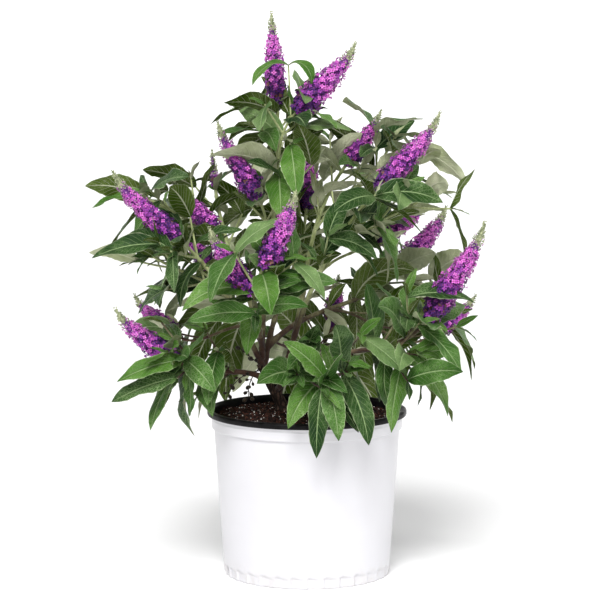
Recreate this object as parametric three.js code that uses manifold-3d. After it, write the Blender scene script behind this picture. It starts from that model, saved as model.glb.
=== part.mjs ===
// A young butterfly bush in a nursery pot: thin canes that fork from one short woody stem,
// opposite lance-shaped leaves that arch over, and a cone of small flowers at the end of most canes.
// Millimetres, +Z up, origin at the centre of the pot's flat underside. An azimuth of 0 is +X, 90 is +Y.
import * as THREE from 'three';
import { mergeVertices } from 'three/addons/utils/BufferGeometryUtils.js';
import Module from 'manifold-3d';

const wasm = await Module();
wasm.setup();

// ---------- driving dimensions ----------

const pot = {
  segments: 64,
  height: 200,
  footRadius: 100.6,      // outside, where it stands
  bodyRadius: 111.6,      // outside, under the collar
  collarRadius: 114.6,
  collarHeight: 22,       // from the step to the rim's top
  lipRadius: 120,
  lipHeight: 7,
  wall: 2.2,
  floor: 3.5,
  footWall: 3.6,
  fluteHeight: 11,        // shallow flutes round the foot
  fluteDepth: 1.6,
  drains: 2,
  drainWidth: 7,
  drainHeight: 10,
  drainTurn: 18,          // azimuth of the first drain
};
const mix = {
  segments: 32,
  clearance: 0.3,
  edgeDrop: 10,           // from the rim down to the mix at the wall
  crownDrop: 2,           // and down to its level middle
  crownRadius: 44,
  ripple: 1.5,
};
const trunk = {
  foot: [-27, 0],
  height: 54,
  lean: 27,
  toward: 180,
  sides: 7,
  radii: [[0, 12], [0.08, 9.2], [0.3, 7.6], [0.65, 7], [1, 6.2]],   // share of the height, radius
};
const gap = 0.3;          // between pieces that meet
const cane = { footRadius: 3.7, endRadius: 2, sideRadius: 1.9, sideEndRadius: 1.5, pull: 0.38, stretch: 36 };
const leaf = {
  nodes: [12, 40, 80, 126, 176, 230],         // from a shoot's end down to each pair of leaves
  lengths: [88, 106, 116, 116, 110, 102],     // at each of those nodes
  slender: [0.33, 0.41],                      // width over length
  opening: [[58, 70], [64, 84]],              // angle from the stem: at the top pair, and below
  bend: [[0.35, 0.9], [0.6, 1.35]],           // how far a leaf arches over, in radians
  fold: 0.16,                                 // lift of the edges over their distance from the midrib
  keel: 0.02,                                 // thickness under the midrib over the length
  small: 86,                                  // a shorter leaf is nearly flat
};
const twig = {
  lastNode: 3,
  lengths: [40, 62],
  opening: 46,
  above: 6,               // from the leaf pair below it
  radius: 1.4,
  endRadius: 1.1,
  leafLengths: [62, 90],
  twoPairs: 0.25,         // share of the twigs that have a second pair lower down
  topPair: 0.94,          // shares of the twig where its pairs grow
  secondPair: 0.45,
  shrink: 0.8,            // that pair against the one at the tip
};
const spike = { rings: 7, sides: 7, knob: 0.13, slenderTip: 0.8 };
const room = { betweenMasses: 1.5, fromLimbs: 4, fromSpikes: 3, fromLeaves: 5.5, overRim: 6 };

// A leaf that has no room as it first grows turns round the stem, stays smaller or arches less or more.
const tries = [
  [0, 1, 1], [0.4, 1, 0.7], [-0.4, 1, 0.7], [0, 0.8, 1.3], [0.8, 0.85, 1], [-0.8, 0.85, 1], [0, 0.6, 1],
];

// Gaps of open sky, seen from the front: no leaf of a mass has its middle within reach of one of these.
// Each is a distance across, a height and a reach.
const openings = {
  crown: [[-72, 575, 3]],
  upper_left: [[-197, 479, 9], [-155, 483, 10], [-129, 453, 6], [-154, 459, 5]],
  left: [[-202, 364, 12]],
  left_low: [[-123, 215, 10], [-194, 282, 18], [-151, 215, 7], [-124, 231, 8]],
  right_upper: [[154, 437, 14], [111, 393, 3], [157, 471, 3]],
  upper_right: [[92, 507, 8]],
  right: [[119, 222, 16], [187, 322, 6]],
  back_left: [[-128, 255, 4]],
  back_right: [[96, 334, 4]],
  back_low: [[26, 241, 6]],
};

// One entry for each cane: the limb it grows from and the share of that limb below it, the length of its
// leafy end, and its shoots. A shoot ends at an azimuth, reach and height, and points there with a lean from
// upright toward an azimuth. Its spike of flowers has a length and a girth, or it stays a leafy tip. The
// first shoot ends the cane, and the others fork from it at a distance below its end.
const canes = [
  { name: 'crown', from: ['trunk', 0.97], leafy: 250, seed: 381, shoots: [
    { end: [140, 47, 566], way: [194, 4], spike: 109, girth: 12.5, roll: 50 },
    { end: [222, 15, 558], way: [352, 45], spike: 107, girth: 16, roll: 90, fork: 110 },
    { end: [166, 62, 455], way: [201, 32], spike: 104, girth: 13, roll: 40, fork: 175 }] },
  { name: 'upper_left', from: ['crown', 0.35], leafy: 130, seed: 214, shoots: [
    { end: [146, 135, 462], way: [129, 9], spike: 46, girth: 5, roll: 20 },
    { end: [165, 205, 450], way: [180, 66], roll: 10, fork: 90 }] },
  { name: 'left', from: ['trunk', 0.8], leafy: 150, seed: 48, shoots: [
    { end: [198, 160, 410], way: [188, 48], spike: 112, girth: 13.5, roll: 130 },
    { end: [167, 109, 410], way: [180, 45], spike: 88, girth: 12, roll: 60, fork: 105 },
    { end: [192, 190, 390], way: [184, 56], roll: 30, fork: 100 }] },
  { name: 'left_low', from: ['trunk', 0.62], leafy: 105, seed: 126, shoots: [
    { end: [198, 165, 266], way: [190, 53], spike: 94, girth: 14, roll: 60 },
    { end: [206, 180, 274], way: [202, 70], roll: 0, fork: 85 }] },
  { name: 'front', from: ['crown', 0.14], leafy: 140, seed: 757, shoots: [
    { end: [247, 125, 385], way: [328, 29], spike: 98, girth: 14.5, roll: 90 },
    { end: [235, 116, 352], way: [194, 36], spike: 90, girth: 14, roll: 130, fork: 95 }] },
  { name: 'front_low', from: ['trunk', 0.4], leafy: 110, seed: 865, shoots: [
    { end: [289, 142, 264], way: [294, 70], roll: 110 },
    { end: [265, 138, 262], way: [262, 66], roll: 50, fork: 85 }] },
  { name: 'right_upper', from: ['trunk', 0.28], leafy: 190, seed: 890, shoots: [
    { end: [340, 89, 466], way: [346, 43], spike: 120, girth: 13.5, roll: 160 },
    { end: [28, 95, 398], way: [14, 60], spike: 82, girth: 12, roll: 60, fork: 125 },
    { end: [358, 150, 462], way: [0, 50], roll: 60, fork: 95 }] },
  { name: 'upper_right', from: ['right_upper', 0.8], leafy: 180, seed: 217, shoots: [
    { end: [57, 90, 490], way: [0, 36], spike: 78, girth: 12, roll: 30 },
    { end: [40, 135, 515], way: [20, 25], roll: 130, fork: 95 }] },
  { name: 'right', from: ['right_upper', 0.3], leafy: 155, seed: 357, shoots: [
    { end: [332, 161, 319], way: [339, 34], spike: 134, girth: 15.5, roll: 70 },
    { end: [322, 158, 282], way: [326, 62], roll: 140, fork: 110 }] },
  { name: 'back', from: ['trunk', 0.88], leafy: 190, seed: 911, shoots: [
    { end: [90, 150, 430], way: [77, 23], spike: 94, girth: 13, roll: 150 },
    { end: [118, 135, 445], way: [120, 30], roll: 160, fork: 110 }] },
  { name: 'back_left', from: ['back', 0.35], leafy: 125, seed: 689, shoots: [
    { end: [133, 170, 350], way: [141, 40], spike: 100, girth: 13.5, roll: 90 },
    { end: [158, 172, 280], way: [156, 56], spike: 76, girth: 12, roll: 40, fork: 110 }] },
  { name: 'back_right', from: ['back', 0.55], leafy: 160, seed: 177, shoots: [
    { end: [44, 166, 360], way: [30, 46], spike: 98, girth: 13.5, roll: 90 },
    { end: [20, 160, 280], way: [18, 56], spike: 78, girth: 12, roll: 70, fork: 120 }] },
  { name: 'back_low', from: ['trunk', 0.55], leafy: 115, seed: 263, shoots: [
    { end: [80, 166, 275], way: [76, 44], spike: 84, girth: 13, roll: 100 },
    { end: [108, 155, 270], way: [112, 60], roll: 100, fork: 90 }] },
];

// ---------- small helpers ----------

const up = new THREE.Vector3(0, 0, 1);
const rad = THREE.MathUtils.degToRad;
const mixTop = pot.height - mix.crownDrop;

function place(azimuth, reach, height) {
  return new THREE.Vector3(reach * Math.cos(rad(azimuth)), reach * Math.sin(rad(azimuth)), height);
}

function heading(azimuth, lean) {
  return place(azimuth, Math.sin(rad(lean)), Math.cos(rad(lean)));
}

// The direction at an angle from one direction toward another that is square to it.
function between(first, second, angle) {
  return first.clone().multiplyScalar(Math.cos(angle)).addScaledVector(second, Math.sin(angle));
}

// Even chances between low and high, the same on every run for one seed.
function chances(seed) {
  let state = seed;
  return (low, high) => {
    state = (state * 1664525 + 1013904223) % 4294967296;
    return low + (high - low) * state / 4294967296;
  };
}

// Two directions at right angles to a stem and to each other. The first keeps to the plane of +X.
function acrossOf(direction) {
  const first = new THREE.Vector3(1, 0, 0).addScaledVector(direction, -direction.x).normalize();
  return [first, new THREE.Vector3().crossVectors(direction, first)];
}

function lengthOf(line) {
  return line.slice(1).reduce((sum, point, i) => sum + point.distanceTo(line[i]), 0);
}

// The point and the direction of a line at a distance from its start.
function along(line, distance) {
  let left = distance;
  let i = 0;
  while (i < line.length - 2 && left > line[i].distanceTo(line[i + 1])) {
    left -= line[i].distanceTo(line[i + 1]);
    i += 1;
  }
  const direction = new THREE.Vector3().subVectors(line[i + 1], line[i]).normalize();
  return { point: line[i].clone().addScaledVector(direction, left), direction };
}

function bezier(start, startWay, end, endWay) {
  const pull = start.distanceTo(end) * cane.pull;
  const curve = new THREE.CubicBezierCurve3(start, start.clone().addScaledVector(startWay, pull),
    end.clone().addScaledVector(endWay, -pull), end);
  return curve.getPoints(Math.max(4, Math.round(start.distanceTo(end) / cane.stretch)));
}

// ---------- solids ----------

// A closed skin over rings of equally many points, with a flat end or a single point at each end.
function loft(rings, tip, root) {
  const sides = rings[0].length;
  const points = rings.flat();
  const faces = [];
  const last = points.length - sides;
  for (let i = 0; i < last; i += sides) {
    for (let k = 0; k < sides; k += 1) {
      const next = (k + 1) % sides;
      faces.push(i + k, i + next, i + sides + next, i + k, i + sides + next, i + sides + k);
    }
  }
  if (tip) points.push(tip);
  if (root) points.push(root);
  for (let k = 0; k < sides; k += 1) {
    const next = (k + 1) % sides;
    if (tip) faces.push(last + k, last + next, last + sides);
    else if (k > 0 && k < sides - 1) faces.push(last, last + k, last + next);
    if (root) faces.push(next, k, points.length - 1);
    else if (k > 0 && k < sides - 1) faces.push(0, next, k);
  }
  return new THREE.BufferGeometry().setFromPoints(points).setIndex(faces);
}

function solidOf(geometry) {
  const bare = geometry.clone();
  for (const name of Object.keys(bare.attributes)) if (name !== 'position') bare.deleteAttribute(name);
  const merged = mergeVertices(bare, 1e-3);
  return new wasm.Manifold(new wasm.Mesh({
    numProp: 3,
    vertProperties: new Float32Array(merged.attributes.position.array),
    triVerts: new Uint32Array(merged.index.array),
  }));
}

function geometryOf(solid) {
  const made = solid.getMesh();
  const geometry = new THREE.BufferGeometry();
  geometry.setAttribute('position', new THREE.BufferAttribute(new Float32Array(made.vertProperties), 3));
  geometry.setIndex(new THREE.BufferAttribute(new Uint32Array(made.triVerts), 1));
  return geometry;
}

// The largest body of a solid: a loose scrap is dropped and a sealed hollow is filled.
function mainBody(solid) {
  return solid.decompose().reduce((best, body) => (body.volume() > best.volume() ? body : best));
}

function fuse(geometries) {
  const whole = geometries.map(solidOf).reduce((sum, solid) => sum.add(solid));
  return geometryOf(mainBody(whole));
}

function ring(centre, direction, radius, sides, turn = 0) {
  const [a, b] = acrossOf(direction);
  return Array.from({ length: sides }, (_, k) => {
    const way = between(a, b, turn + (2 * Math.PI * k) / sides);
    return centre.clone().addScaledVector(way, radius);
  });
}

// The distances at which a tube over part of a line has its rings: both ends and the line's corners between.
function stops(line, from, to) {
  let walked = 0;
  const corners = line.map((point, i) => {
    walked += i > 0 ? point.distanceTo(line[i - 1]) : 0;
    return walked;
  });
  return [from, ...corners.filter((distance) => distance > from + 4 && distance < to - 4), to];
}

function tube(line, from, to, radiusAt, sides, turn = 0) {
  return loft(stops(line, from, to).map((distance) => {
    const before = along(line, distance - 1).direction;
    const direction = before.add(along(line, distance + 1).direction).normalize();
    return ring(along(line, distance).point, direction, radiusAt(distance), sides, turn);
  }));
}

// ---------- pot and potting mix ----------

function turned(profile, segments) {
  const points = profile.map(([radius, height]) => new THREE.Vector2(radius, height));
  return new THREE.LatheGeometry(points, segments).rotateX(Math.PI / 2);
}

function potGeometry() {
  const p = pot;
  const step = p.height - p.collarHeight;
  const lip = p.height - p.lipHeight;
  const outside = turned([
    [0, 0], [p.footRadius - 1, 0], [p.footRadius, p.fluteHeight], [p.footRadius + 0.2, p.fluteHeight + 1.5],
    [p.bodyRadius, step - 1], [p.collarRadius, step], [p.collarRadius + 0.2, lip], [p.lipRadius, lip],
    [p.lipRadius, p.height - 1], [p.lipRadius - 1.2, p.height], [0, p.height],
  ], p.segments);
  const position = outside.attributes.position;
  for (let i = 0; i < position.count; i += 1) {
    const [x, y, z] = [position.getX(i), position.getY(i), position.getZ(i)];
    const radius = Math.hypot(x, y);
    const turn = Math.round((Math.atan2(y, x) / (2 * Math.PI)) * p.segments);
    if (radius < p.footRadius - 1.5 || z > p.fluteHeight + 0.5 || turn % 2 === 0) continue;
    position.setXY(i, x * (1 - p.fluteDepth / radius), y * (1 - p.fluteDepth / radius));
  }
  const inside = turned([
    [0, p.floor], [p.footRadius - p.footWall, p.floor], [p.bodyRadius - p.wall, step - 1.5],
    [p.collarRadius - p.wall, step], [p.collarRadius - p.wall, p.height + 1], [0, p.height + 1],
  ], mix.segments);
  let solid = solidOf(outside).subtract(solidOf(inside));
  for (let i = 0; i < p.drains; i += 1) {
    const slot = new THREE.BoxGeometry(8, p.drainWidth, p.drainHeight);
    slot.translate(p.footRadius, 0, p.floor + 0.5 + p.drainHeight / 2);
    slot.rotateZ(rad(p.drainTurn) + (2 * Math.PI * i) / p.drains);
    solid = solid.subtract(solidOf(slot));
  }
  return geometryOf(mainBody(solid));
}

function mixGeometry() {
  const p = pot;
  const c = mix.clearance;
  const step = p.height - p.collarHeight;
  const edge = p.height - mix.edgeDrop;
  const slope = (p.collarRadius - p.wall - mix.crownRadius) / 2 + mix.crownRadius;
  const geometry = turned([
    [0, p.floor + c], [p.footRadius - p.footWall - c, p.floor + c], [p.bodyRadius - p.wall - c, step - 1.5],
    [p.collarRadius - p.wall - c, step + c], [p.collarRadius - p.wall - c, edge],
    [slope, (edge + mixTop) / 2], [mix.crownRadius, mixTop], [0, mixTop],
  ], mix.segments);
  const position = geometry.attributes.position;
  for (let i = 0; i < position.count; i += 1) {
    const [x, y, z] = [position.getX(i), position.getY(i), position.getZ(i)];
    if (z < edge || Math.hypot(x, y) < mix.crownRadius + 1) continue;
    position.setZ(i, z + mix.ripple * Math.sin(x * 0.11) * Math.cos(y * 0.13));
  }
  return geometry;
}

// ---------- trunk and boughs ----------

const trunkFoot = new THREE.Vector3(...trunk.foot, mixTop + gap);
const trunkWay = heading(trunk.toward, trunk.lean).multiplyScalar(trunk.height / Math.cos(rad(trunk.lean)));
const trunkLine = [trunkFoot, trunkFoot.clone().add(trunkWay)];

function trunkGeometry(margin = 0) {
  const rings = trunk.radii.map(([share, radius]) => {
    const centre = trunkFoot.clone().addScaledVector(trunkWay, share);
    return ring(centre, up, radius + margin, trunk.sides);
  });
  return loft(rings);
}

function layOutCanes() {
  const lines = { trunk: { bough: trunkLine, length: lengthOf(trunkLine) } };
  return canes.map((made) => {
    const parent = lines[made.from[0]];
    const start = along(parent.bough, parent.length * made.from[1]);
    const shoots = made.shoots.map((shoot) => ({
      ...shoot, end: place(...shoot.end), way: heading(...shoot.way),
    }));
    const [main, ...sides] = shoots;
    main.line = bezier(start.point, startWay(start, main.end), main.end, main.way);
    const length = lengthOf(main.line);
    const bare = length - made.leafy;
    for (const side of sides) {
      const fork = along(main.line, length - side.fork);
      side.line = bezier(fork.point, startWay(fork, side.end), side.end, side.way);
    }
    lines[made.name] = { bough: main.line, length: bare };
    return { ...made, shoots, length, bare, chance: chances(made.seed) };
  });
}

// A new limb sets off between its parent's direction and the straight way to its end.
function startWay(start, end) {
  const straight = new THREE.Vector3().subVectors(end, start.point).normalize();
  return straight.addScaledVector(start.direction, 0.2).addScaledVector(up, 0.3).normalize();
}

function caneRadius(made) {
  return (distance) => cane.footRadius + ((cane.endRadius - cane.footRadius) * distance) / made.length;
}

// ---------- growth of one mass of foliage ----------

const masses = layOutCanes();

// The middle of each mass: its space is every point that is nearer to this than to another mass's middle.
for (const mass of masses) {
  mass.heart = new THREE.Vector3();
  for (const shoot of mass.shoots) {
    const { point } = along(shoot.line, lengthOf(shoot.line) - 45);
    mass.heart.addScaledVector(point, 1 / mass.shoots.length);
  }
}

// Every limb, stem and spike as straight stretches with a radius, and the mass that owns it.
const limbs = [];
for (const mass of masses) {
  const radiusAt = caneRadius(mass);
  mass.shoots.forEach((shoot, index) => {
    const length = lengthOf(shoot.line);
    const stretches = 8;
    for (let i = 0; i < stretches; i += 1) {
      const [from, to] = [(length * i) / stretches, (length * (i + 1)) / stretches];
      const isBough = index === 0 && to < mass.bare;
      limbs.push({
        owner: isBough ? 'bough' : mass.name,
        a: along(shoot.line, from).point,
        b: along(shoot.line, to).point,
        reach: (index === 0 ? radiusAt(from) : cane.sideRadius) + room.fromLimbs,
      });
    }
    if (!shoot.spike) return;
    limbs.push({
      owner: mass.name,
      a: shoot.end,
      b: shoot.end.clone().addScaledVector(shoot.way, shoot.spike * 0.9),
      reach: shoot.girth + room.fromSpikes,
    });
  });
}

function distanceTo(limb, point) {
  const way = new THREE.Vector3().subVectors(limb.b, limb.a);
  const share = new THREE.Vector3().subVectors(point, limb.a).dot(way) / way.lengthSq();
  return point.distanceTo(limb.a.clone().addScaledVector(way, THREE.MathUtils.clamp(share, 0, 1)));
}

function inOwnSpace(mass, point) {
  return masses.every((other) => {
    if (other === mass) return true;
    const apart = mass.heart.distanceTo(other.heart);
    const nearer = point.distanceToSquared(other.heart) - point.distanceToSquared(mass.heart);
    return nearer / (2 * apart) > room.betweenMasses;
  });
}

function isClear(mass, point) {
  const overPot = Math.hypot(point.x, point.y) < pot.lipRadius + room.overRim;
  if (overPot && point.z < pot.height + room.overRim) return false;
  return limbs.every((limb) => limb.owner === mass.name || distanceTo(limb, point) > limb.reach);
}

// A point of a leaf's blade: share of its length, share of its half width, and a lift along its normal.
function bladePoint(blade, share, across, lift) {
  const turn = blade.bend * share;
  const tangent = between(blade.out, blade.fall, turn);
  const falling = between(blade.fall, blade.out, -turn);
  const side = falling.multiplyScalar(blade.sideFall).addScaledVector(blade.axis, blade.sideAxis);
  const normal = new THREE.Vector3().crossVectors(tangent, side);
  const half = halfWidth(blade, share) * across;
  return blade.base.clone()
    .addScaledVector(blade.out, (Math.sin(turn) * blade.length) / blade.bend)
    .addScaledVector(blade.fall, ((1 - Math.cos(turn)) * blade.length) / blade.bend)
    .addScaledVector(side, half)
    .addScaledVector(normal, lift + Math.abs(half) * leaf.fold);
}

// Lance-shaped: widest at two fifths of its length.
function halfWidth(blade, share) {
  return 0.5 * blade.width * Math.sin(Math.PI * share ** 0.8) ** (0.75 + 0.1 * share);
}

function makeBlade(base, out, skyward, length, width, bend) {
  const drop = new THREE.Vector3(0, 0, -1).addScaledVector(out, out.z);
  const fall = drop.lengthSq() > 1e-4 ? drop.normalize() : acrossOf(out)[1];
  const axis = new THREE.Vector3().crossVectors(out, fall);
  const normal = skyward.clone().addScaledVector(out, -skyward.dot(out)).normalize();
  const side = new THREE.Vector3().crossVectors(normal, out);
  return { base, out, fall, axis, sideFall: side.dot(fall), sideAxis: side.dot(axis), length, width, bend };
}

// The points of a blade that are kept clear of other things, from a fifth of its length on.
function samplesOf(blade) {
  return [1, 2, 3, 4, 5, 6].flatMap((row) => [-1, -0.5, 0, 0.5, 1].map((across) => (
    bladePoint(blade, (row + 1) / 7, across, 0))));
}

function fits(mass, blade, samples) {
  const isFree = (point) => mass.leaves.every((other) => (
    other.samples.every((near) => point.distanceTo(near) > room.fromLeaves)));
  return samples.every((point) => inOwnSpace(mass, point) && isClear(mass, point) && isFree(point));
}

// Where the upper faces of the leaves at a node turn: along the stem, up, and away from the plant's middle.
function toLight(node) {
  const outward = new THREE.Vector3(node.point.x, node.point.y, 0).normalize();
  return node.direction.clone().multiplyScalar(0.35).addScaledVector(up, 0.6).addScaledVector(outward, 0.45);
}

// One leaf of a pair. Where it would leave its space or touch a limb, it turns, stays smaller or is skipped.
function addLeaf(mass, node, turn, length, grade) {
  const [a, b] = acrossOf(node.direction);
  const chance = mass.chance;
  const opening = rad(chance(...leaf.opening[grade]));
  const width = length * chance(...leaf.slender);
  const bend = chance(...leaf.bend[grade]);
  const tilt = chance(-0.3, 0.3);
  for (const [nudge, scale, arch] of tries) {
    const spread = between(a, b, turn + nudge);
    const out = between(node.direction, spread, opening);
    const cross = new THREE.Vector3().crossVectors(node.direction, spread);
    const skyward = toLight(node).addScaledVector(cross, tilt);
    const blade = makeBlade(node.point, out, skyward, length * scale, width * scale, bend * arch);
    blade.samples = samplesOf(blade);
    if (fits(mass, blade, blade.samples)) {
      mass.leaves.push(blade);
      return;
    }
  }
}

// A short twig from a leaf's armpit, with a pair of leaves at its end and a smaller pair lower down.
function addTwig(mass, node, turn) {
  const [a, b] = acrossOf(node.direction);
  const chance = mass.chance;
  const length = chance(...twig.lengths);
  const leafLength = chance(...twig.leafLengths);
  const roll = chance(0, Math.PI);
  const out = between(node.direction, between(a, b, turn), rad(twig.opening));
  const end = node.point.clone().addScaledVector(out, length).addScaledVector(up, length * 0.15);
  const line = [node.point, end];
  const whole = lengthOf(line);
  for (const share of [0.35, 0.7, 1]) {
    const { point } = along(line, whole * share);
    if (!inOwnSpace(mass, point) || !isClear(mass, point)) return;
  }
  const radiusAt = (distance) => twig.radius + ((twig.endRadius - twig.radius) * distance) / whole;
  mass.twigs.push({ line, from: 0, to: whole, radiusAt, turn: roll + Math.PI / 3 });
  const pairs = [[twig.topPair, 1, 0]];
  if (chance(0, 1) < twig.twoPairs) pairs.push([twig.secondPair, twig.shrink, Math.PI / 2]);
  for (const [share, scale, quarter] of pairs) {
    const joint = along(line, whole * share);
    for (const half of [0, Math.PI]) addLeaf(mass, joint, roll + quarter + half, leafLength * scale, 0);
  }
}

function growShoot(mass, shoot, index) {
  const length = lengthOf(shoot.line);
  const start = index === 0 ? mass.bare + gap : 0;
  const radiusAt = index === 0 ? caneRadius(mass)
    : (d) => cane.sideRadius + ((cane.sideEndRadius - cane.sideRadius) * d) / length;
  mass.stems.push({ line: shoot.line, from: start, to: length, radiusAt, turn: rad(shoot.roll + 45) });
  const lowest = index === 0 ? mass.bare + 20 : 24;
  leaf.nodes.forEach((below, k) => {
    if (length - below < lowest) return;
    const node = along(shoot.line, length - below);
    const turn = rad(shoot.roll + 90 * k + mass.chance(-12, 12));
    const size = leaf.lengths[k] * mass.chance(0.88, 1.1);
    for (const half of [0, Math.PI]) {
      addLeaf(mass, node, turn + half, size, k === 0 ? 0 : 1);
      if (k === 0 || k > twig.lastNode) continue;
      addTwig(mass, along(shoot.line, length - below + twig.above), turn + half + 0.3);
    }
  });
  if (shoot.spike) mass.spikes.push(shoot);
}

// ---------- solids of a mass ----------

function leafGeometry(blade) {
  const shares = blade.length < leaf.small ? [0.45] : [0.3, 0.72];
  const keel = -leaf.keel * blade.length;
  const rings = shares.map((share) => (
    [[1, 0], [-1, 0], [0, keel]].map(([across, lift]) => bladePoint(blade, share, across, lift))));
  return loft(rings, bladePoint(blade, 1, 0, 0), blade.base);
}

// A cone of flower clusters that thins to a slender tip of buds, with knobs in staggered rows.
function spikeGeometry(shoot) {
  const slim = spike.slenderTip;
  const rings = Array.from({ length: spike.rings }, (_, i) => {
    const share = (i / spike.rings) * 0.96;
    const full = share < 0.15 ? 0.62 + share * 2.5 : 1 - 0.64 * ((share - 0.15) / (slim - 0.15)) ** 1.35;
    const radius = shoot.girth * (share < slim ? full : 0.26);
    const centre = shoot.end.clone().addScaledVector(shoot.way, shoot.spike * share);
    return ring(centre, shoot.way, 1, spike.sides).map((point, k) => {
      const knob = 1 + (((i + k) % 2) * 2 - 1) * spike.knob;
      return centre.clone().addScaledVector(point.sub(centre), radius * knob);
    });
  });
  return loft(rings, shoot.end.clone().addScaledVector(shoot.way, shoot.spike));
}

function isOpen(mass, blade) {
  const middle = bladePoint(blade, 0.5, 0, 0);
  return (openings[mass.name] ?? []).some(([x, z, reach]) => (
    Math.hypot(middle.x - x, middle.z - z) < reach));
}

function massGeometry(mass) {
  Object.assign(mass, { stems: [], twigs: [], leaves: [], spikes: [] });
  mass.shoots.forEach((shoot, index) => growShoot(mass, shoot, index));
  mass.leaves = mass.leaves.filter((blade) => !isOpen(mass, blade));
  return fuse([
    ...mass.stems.map((made) => tube(made.line, made.from, made.to, made.radiusAt, 4, made.turn)),
    ...mass.twigs.map((made) => tube(made.line, made.from, made.to, made.radiusAt, 3, made.turn)),
    ...mass.spikes.map(spikeGeometry),
    ...mass.leaves.map(leafGeometry),
  ]);
}

// ---------- the whole plant ----------

const finishes = {
  pot: { color: 0xf1f1f4, roughness: 0.4, metalness: 0 },
  mix: { color: 0x2a1d18, roughness: 1, metalness: 0 },
  bark: { color: 0x6b4a38, roughness: 0.9, metalness: 0 },
  foliage: { color: 0x3f6b35, roughness: 0.6, metalness: 0 },
};

const plant = new THREE.Group();

function addNode(name, geometry, finish) {
  const mesh = new THREE.Mesh(geometry, new THREE.MeshStandardMaterial(finishes[finish]));
  mesh.name = name;
  plant.add(mesh);
}

addNode('pot', potGeometry(), 'pot');
addNode('potting_mix', mixGeometry(), 'mix');
addNode('trunk', trunkGeometry(), 'bark');

// Each bough is cut back from what it grows out of and from the boughs before it.
const cutters = [solidOf(trunkGeometry(gap))];
for (const mass of masses) {
  const radiusAt = caneRadius(mass);
  const grownAt = (distance) => radiusAt(distance) + gap;
  const whole = solidOf(tube(mass.shoots[0].line, 0, mass.bare, radiusAt, 5));
  const cut = mainBody(cutters.reduce((left, cutter) => left.subtract(cutter), whole));
  if (cut.volume() < 0.5 * whole.volume()) throw new Error(`another limb cuts through bough_${mass.name}`);
  addNode(`bough_${mass.name}`, geometryOf(cut), 'bark');
  cutters.push(solidOf(tube(mass.shoots[0].line, 0, mass.bare, grownAt, 5)));
}
for (const mass of masses) addNode(`foliage_${mass.name}`, massGeometry(mass), 'foliage');

export default plant;
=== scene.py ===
import math

import bpy
import numpy as np
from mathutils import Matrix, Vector, noise


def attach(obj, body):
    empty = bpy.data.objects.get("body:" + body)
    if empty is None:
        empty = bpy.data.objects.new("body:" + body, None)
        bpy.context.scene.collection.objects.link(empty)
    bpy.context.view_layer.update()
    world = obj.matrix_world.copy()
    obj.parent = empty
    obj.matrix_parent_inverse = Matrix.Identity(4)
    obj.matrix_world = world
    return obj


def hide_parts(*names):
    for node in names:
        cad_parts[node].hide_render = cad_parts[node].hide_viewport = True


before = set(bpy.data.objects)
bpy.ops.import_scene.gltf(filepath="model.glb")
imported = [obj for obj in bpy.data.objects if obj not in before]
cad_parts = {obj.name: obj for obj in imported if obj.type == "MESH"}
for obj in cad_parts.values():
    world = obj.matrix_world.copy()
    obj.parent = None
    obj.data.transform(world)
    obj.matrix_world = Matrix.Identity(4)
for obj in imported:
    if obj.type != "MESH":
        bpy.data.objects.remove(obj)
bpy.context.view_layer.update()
scene = bpy.context.scene
print("frame loaded")

# camera and lights

studio = {
    "cameraPlace": (-0.0083, -3.0, 0.683), "cameraDown": 6.69, "lens": 151.2, "aim": (0, 0, 0.35),
    "areaLights": [("keyLight", (-0.35, -2.9, 2.1), 1.3, 35), ("fillLight", (2.4, -1.2, 1.6), 1.8, 16)],
    "sunTilt": (42, -2, -8), "sunPower": 2.7, "sunSize": 26, "sky": 0.46,
}


def putInScene(name, data, place=(0, 0, 0), turn=(0, 0, 0)):
    made = bpy.data.objects.new(name, data)
    made.location = place
    made.rotation_euler = turn
    scene.collection.objects.link(made)
    return made


def setUpStudio():
    data = bpy.data.cameras.new("camera")
    data.lens = studio["lens"]
    tilt = (math.radians(90 - studio["cameraDown"]), 0, 0)
    scene.camera = putInScene("camera", data, studio["cameraPlace"], tilt)
    for name, place, size, power in studio["areaLights"]:
        data = bpy.data.lights.new(name, "AREA")
        data.size = size
        data.energy = power
        way = Vector(studio["aim"]) - Vector(place)
        putInScene(name, data, place, way.to_track_quat("-Z", "Y").to_euler())
    data = bpy.data.lights.new("highLight", "SUN")
    data.energy = studio["sunPower"]
    data.angle = math.radians(studio["sunSize"])
    putInScene("highLight", data, turn=[math.radians(angle) for angle in studio["sunTilt"]])
    world = bpy.data.worlds.new("studio")
    world.use_nodes = True
    sky = world.node_tree.nodes["Background"].inputs
    sky["Color"].default_value = (1, 1, 1, 1)
    sky["Strength"].default_value = studio["sky"]
    scene.world = world
    scene.view_settings.view_transform = "Standard"


setUpStudio()


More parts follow.
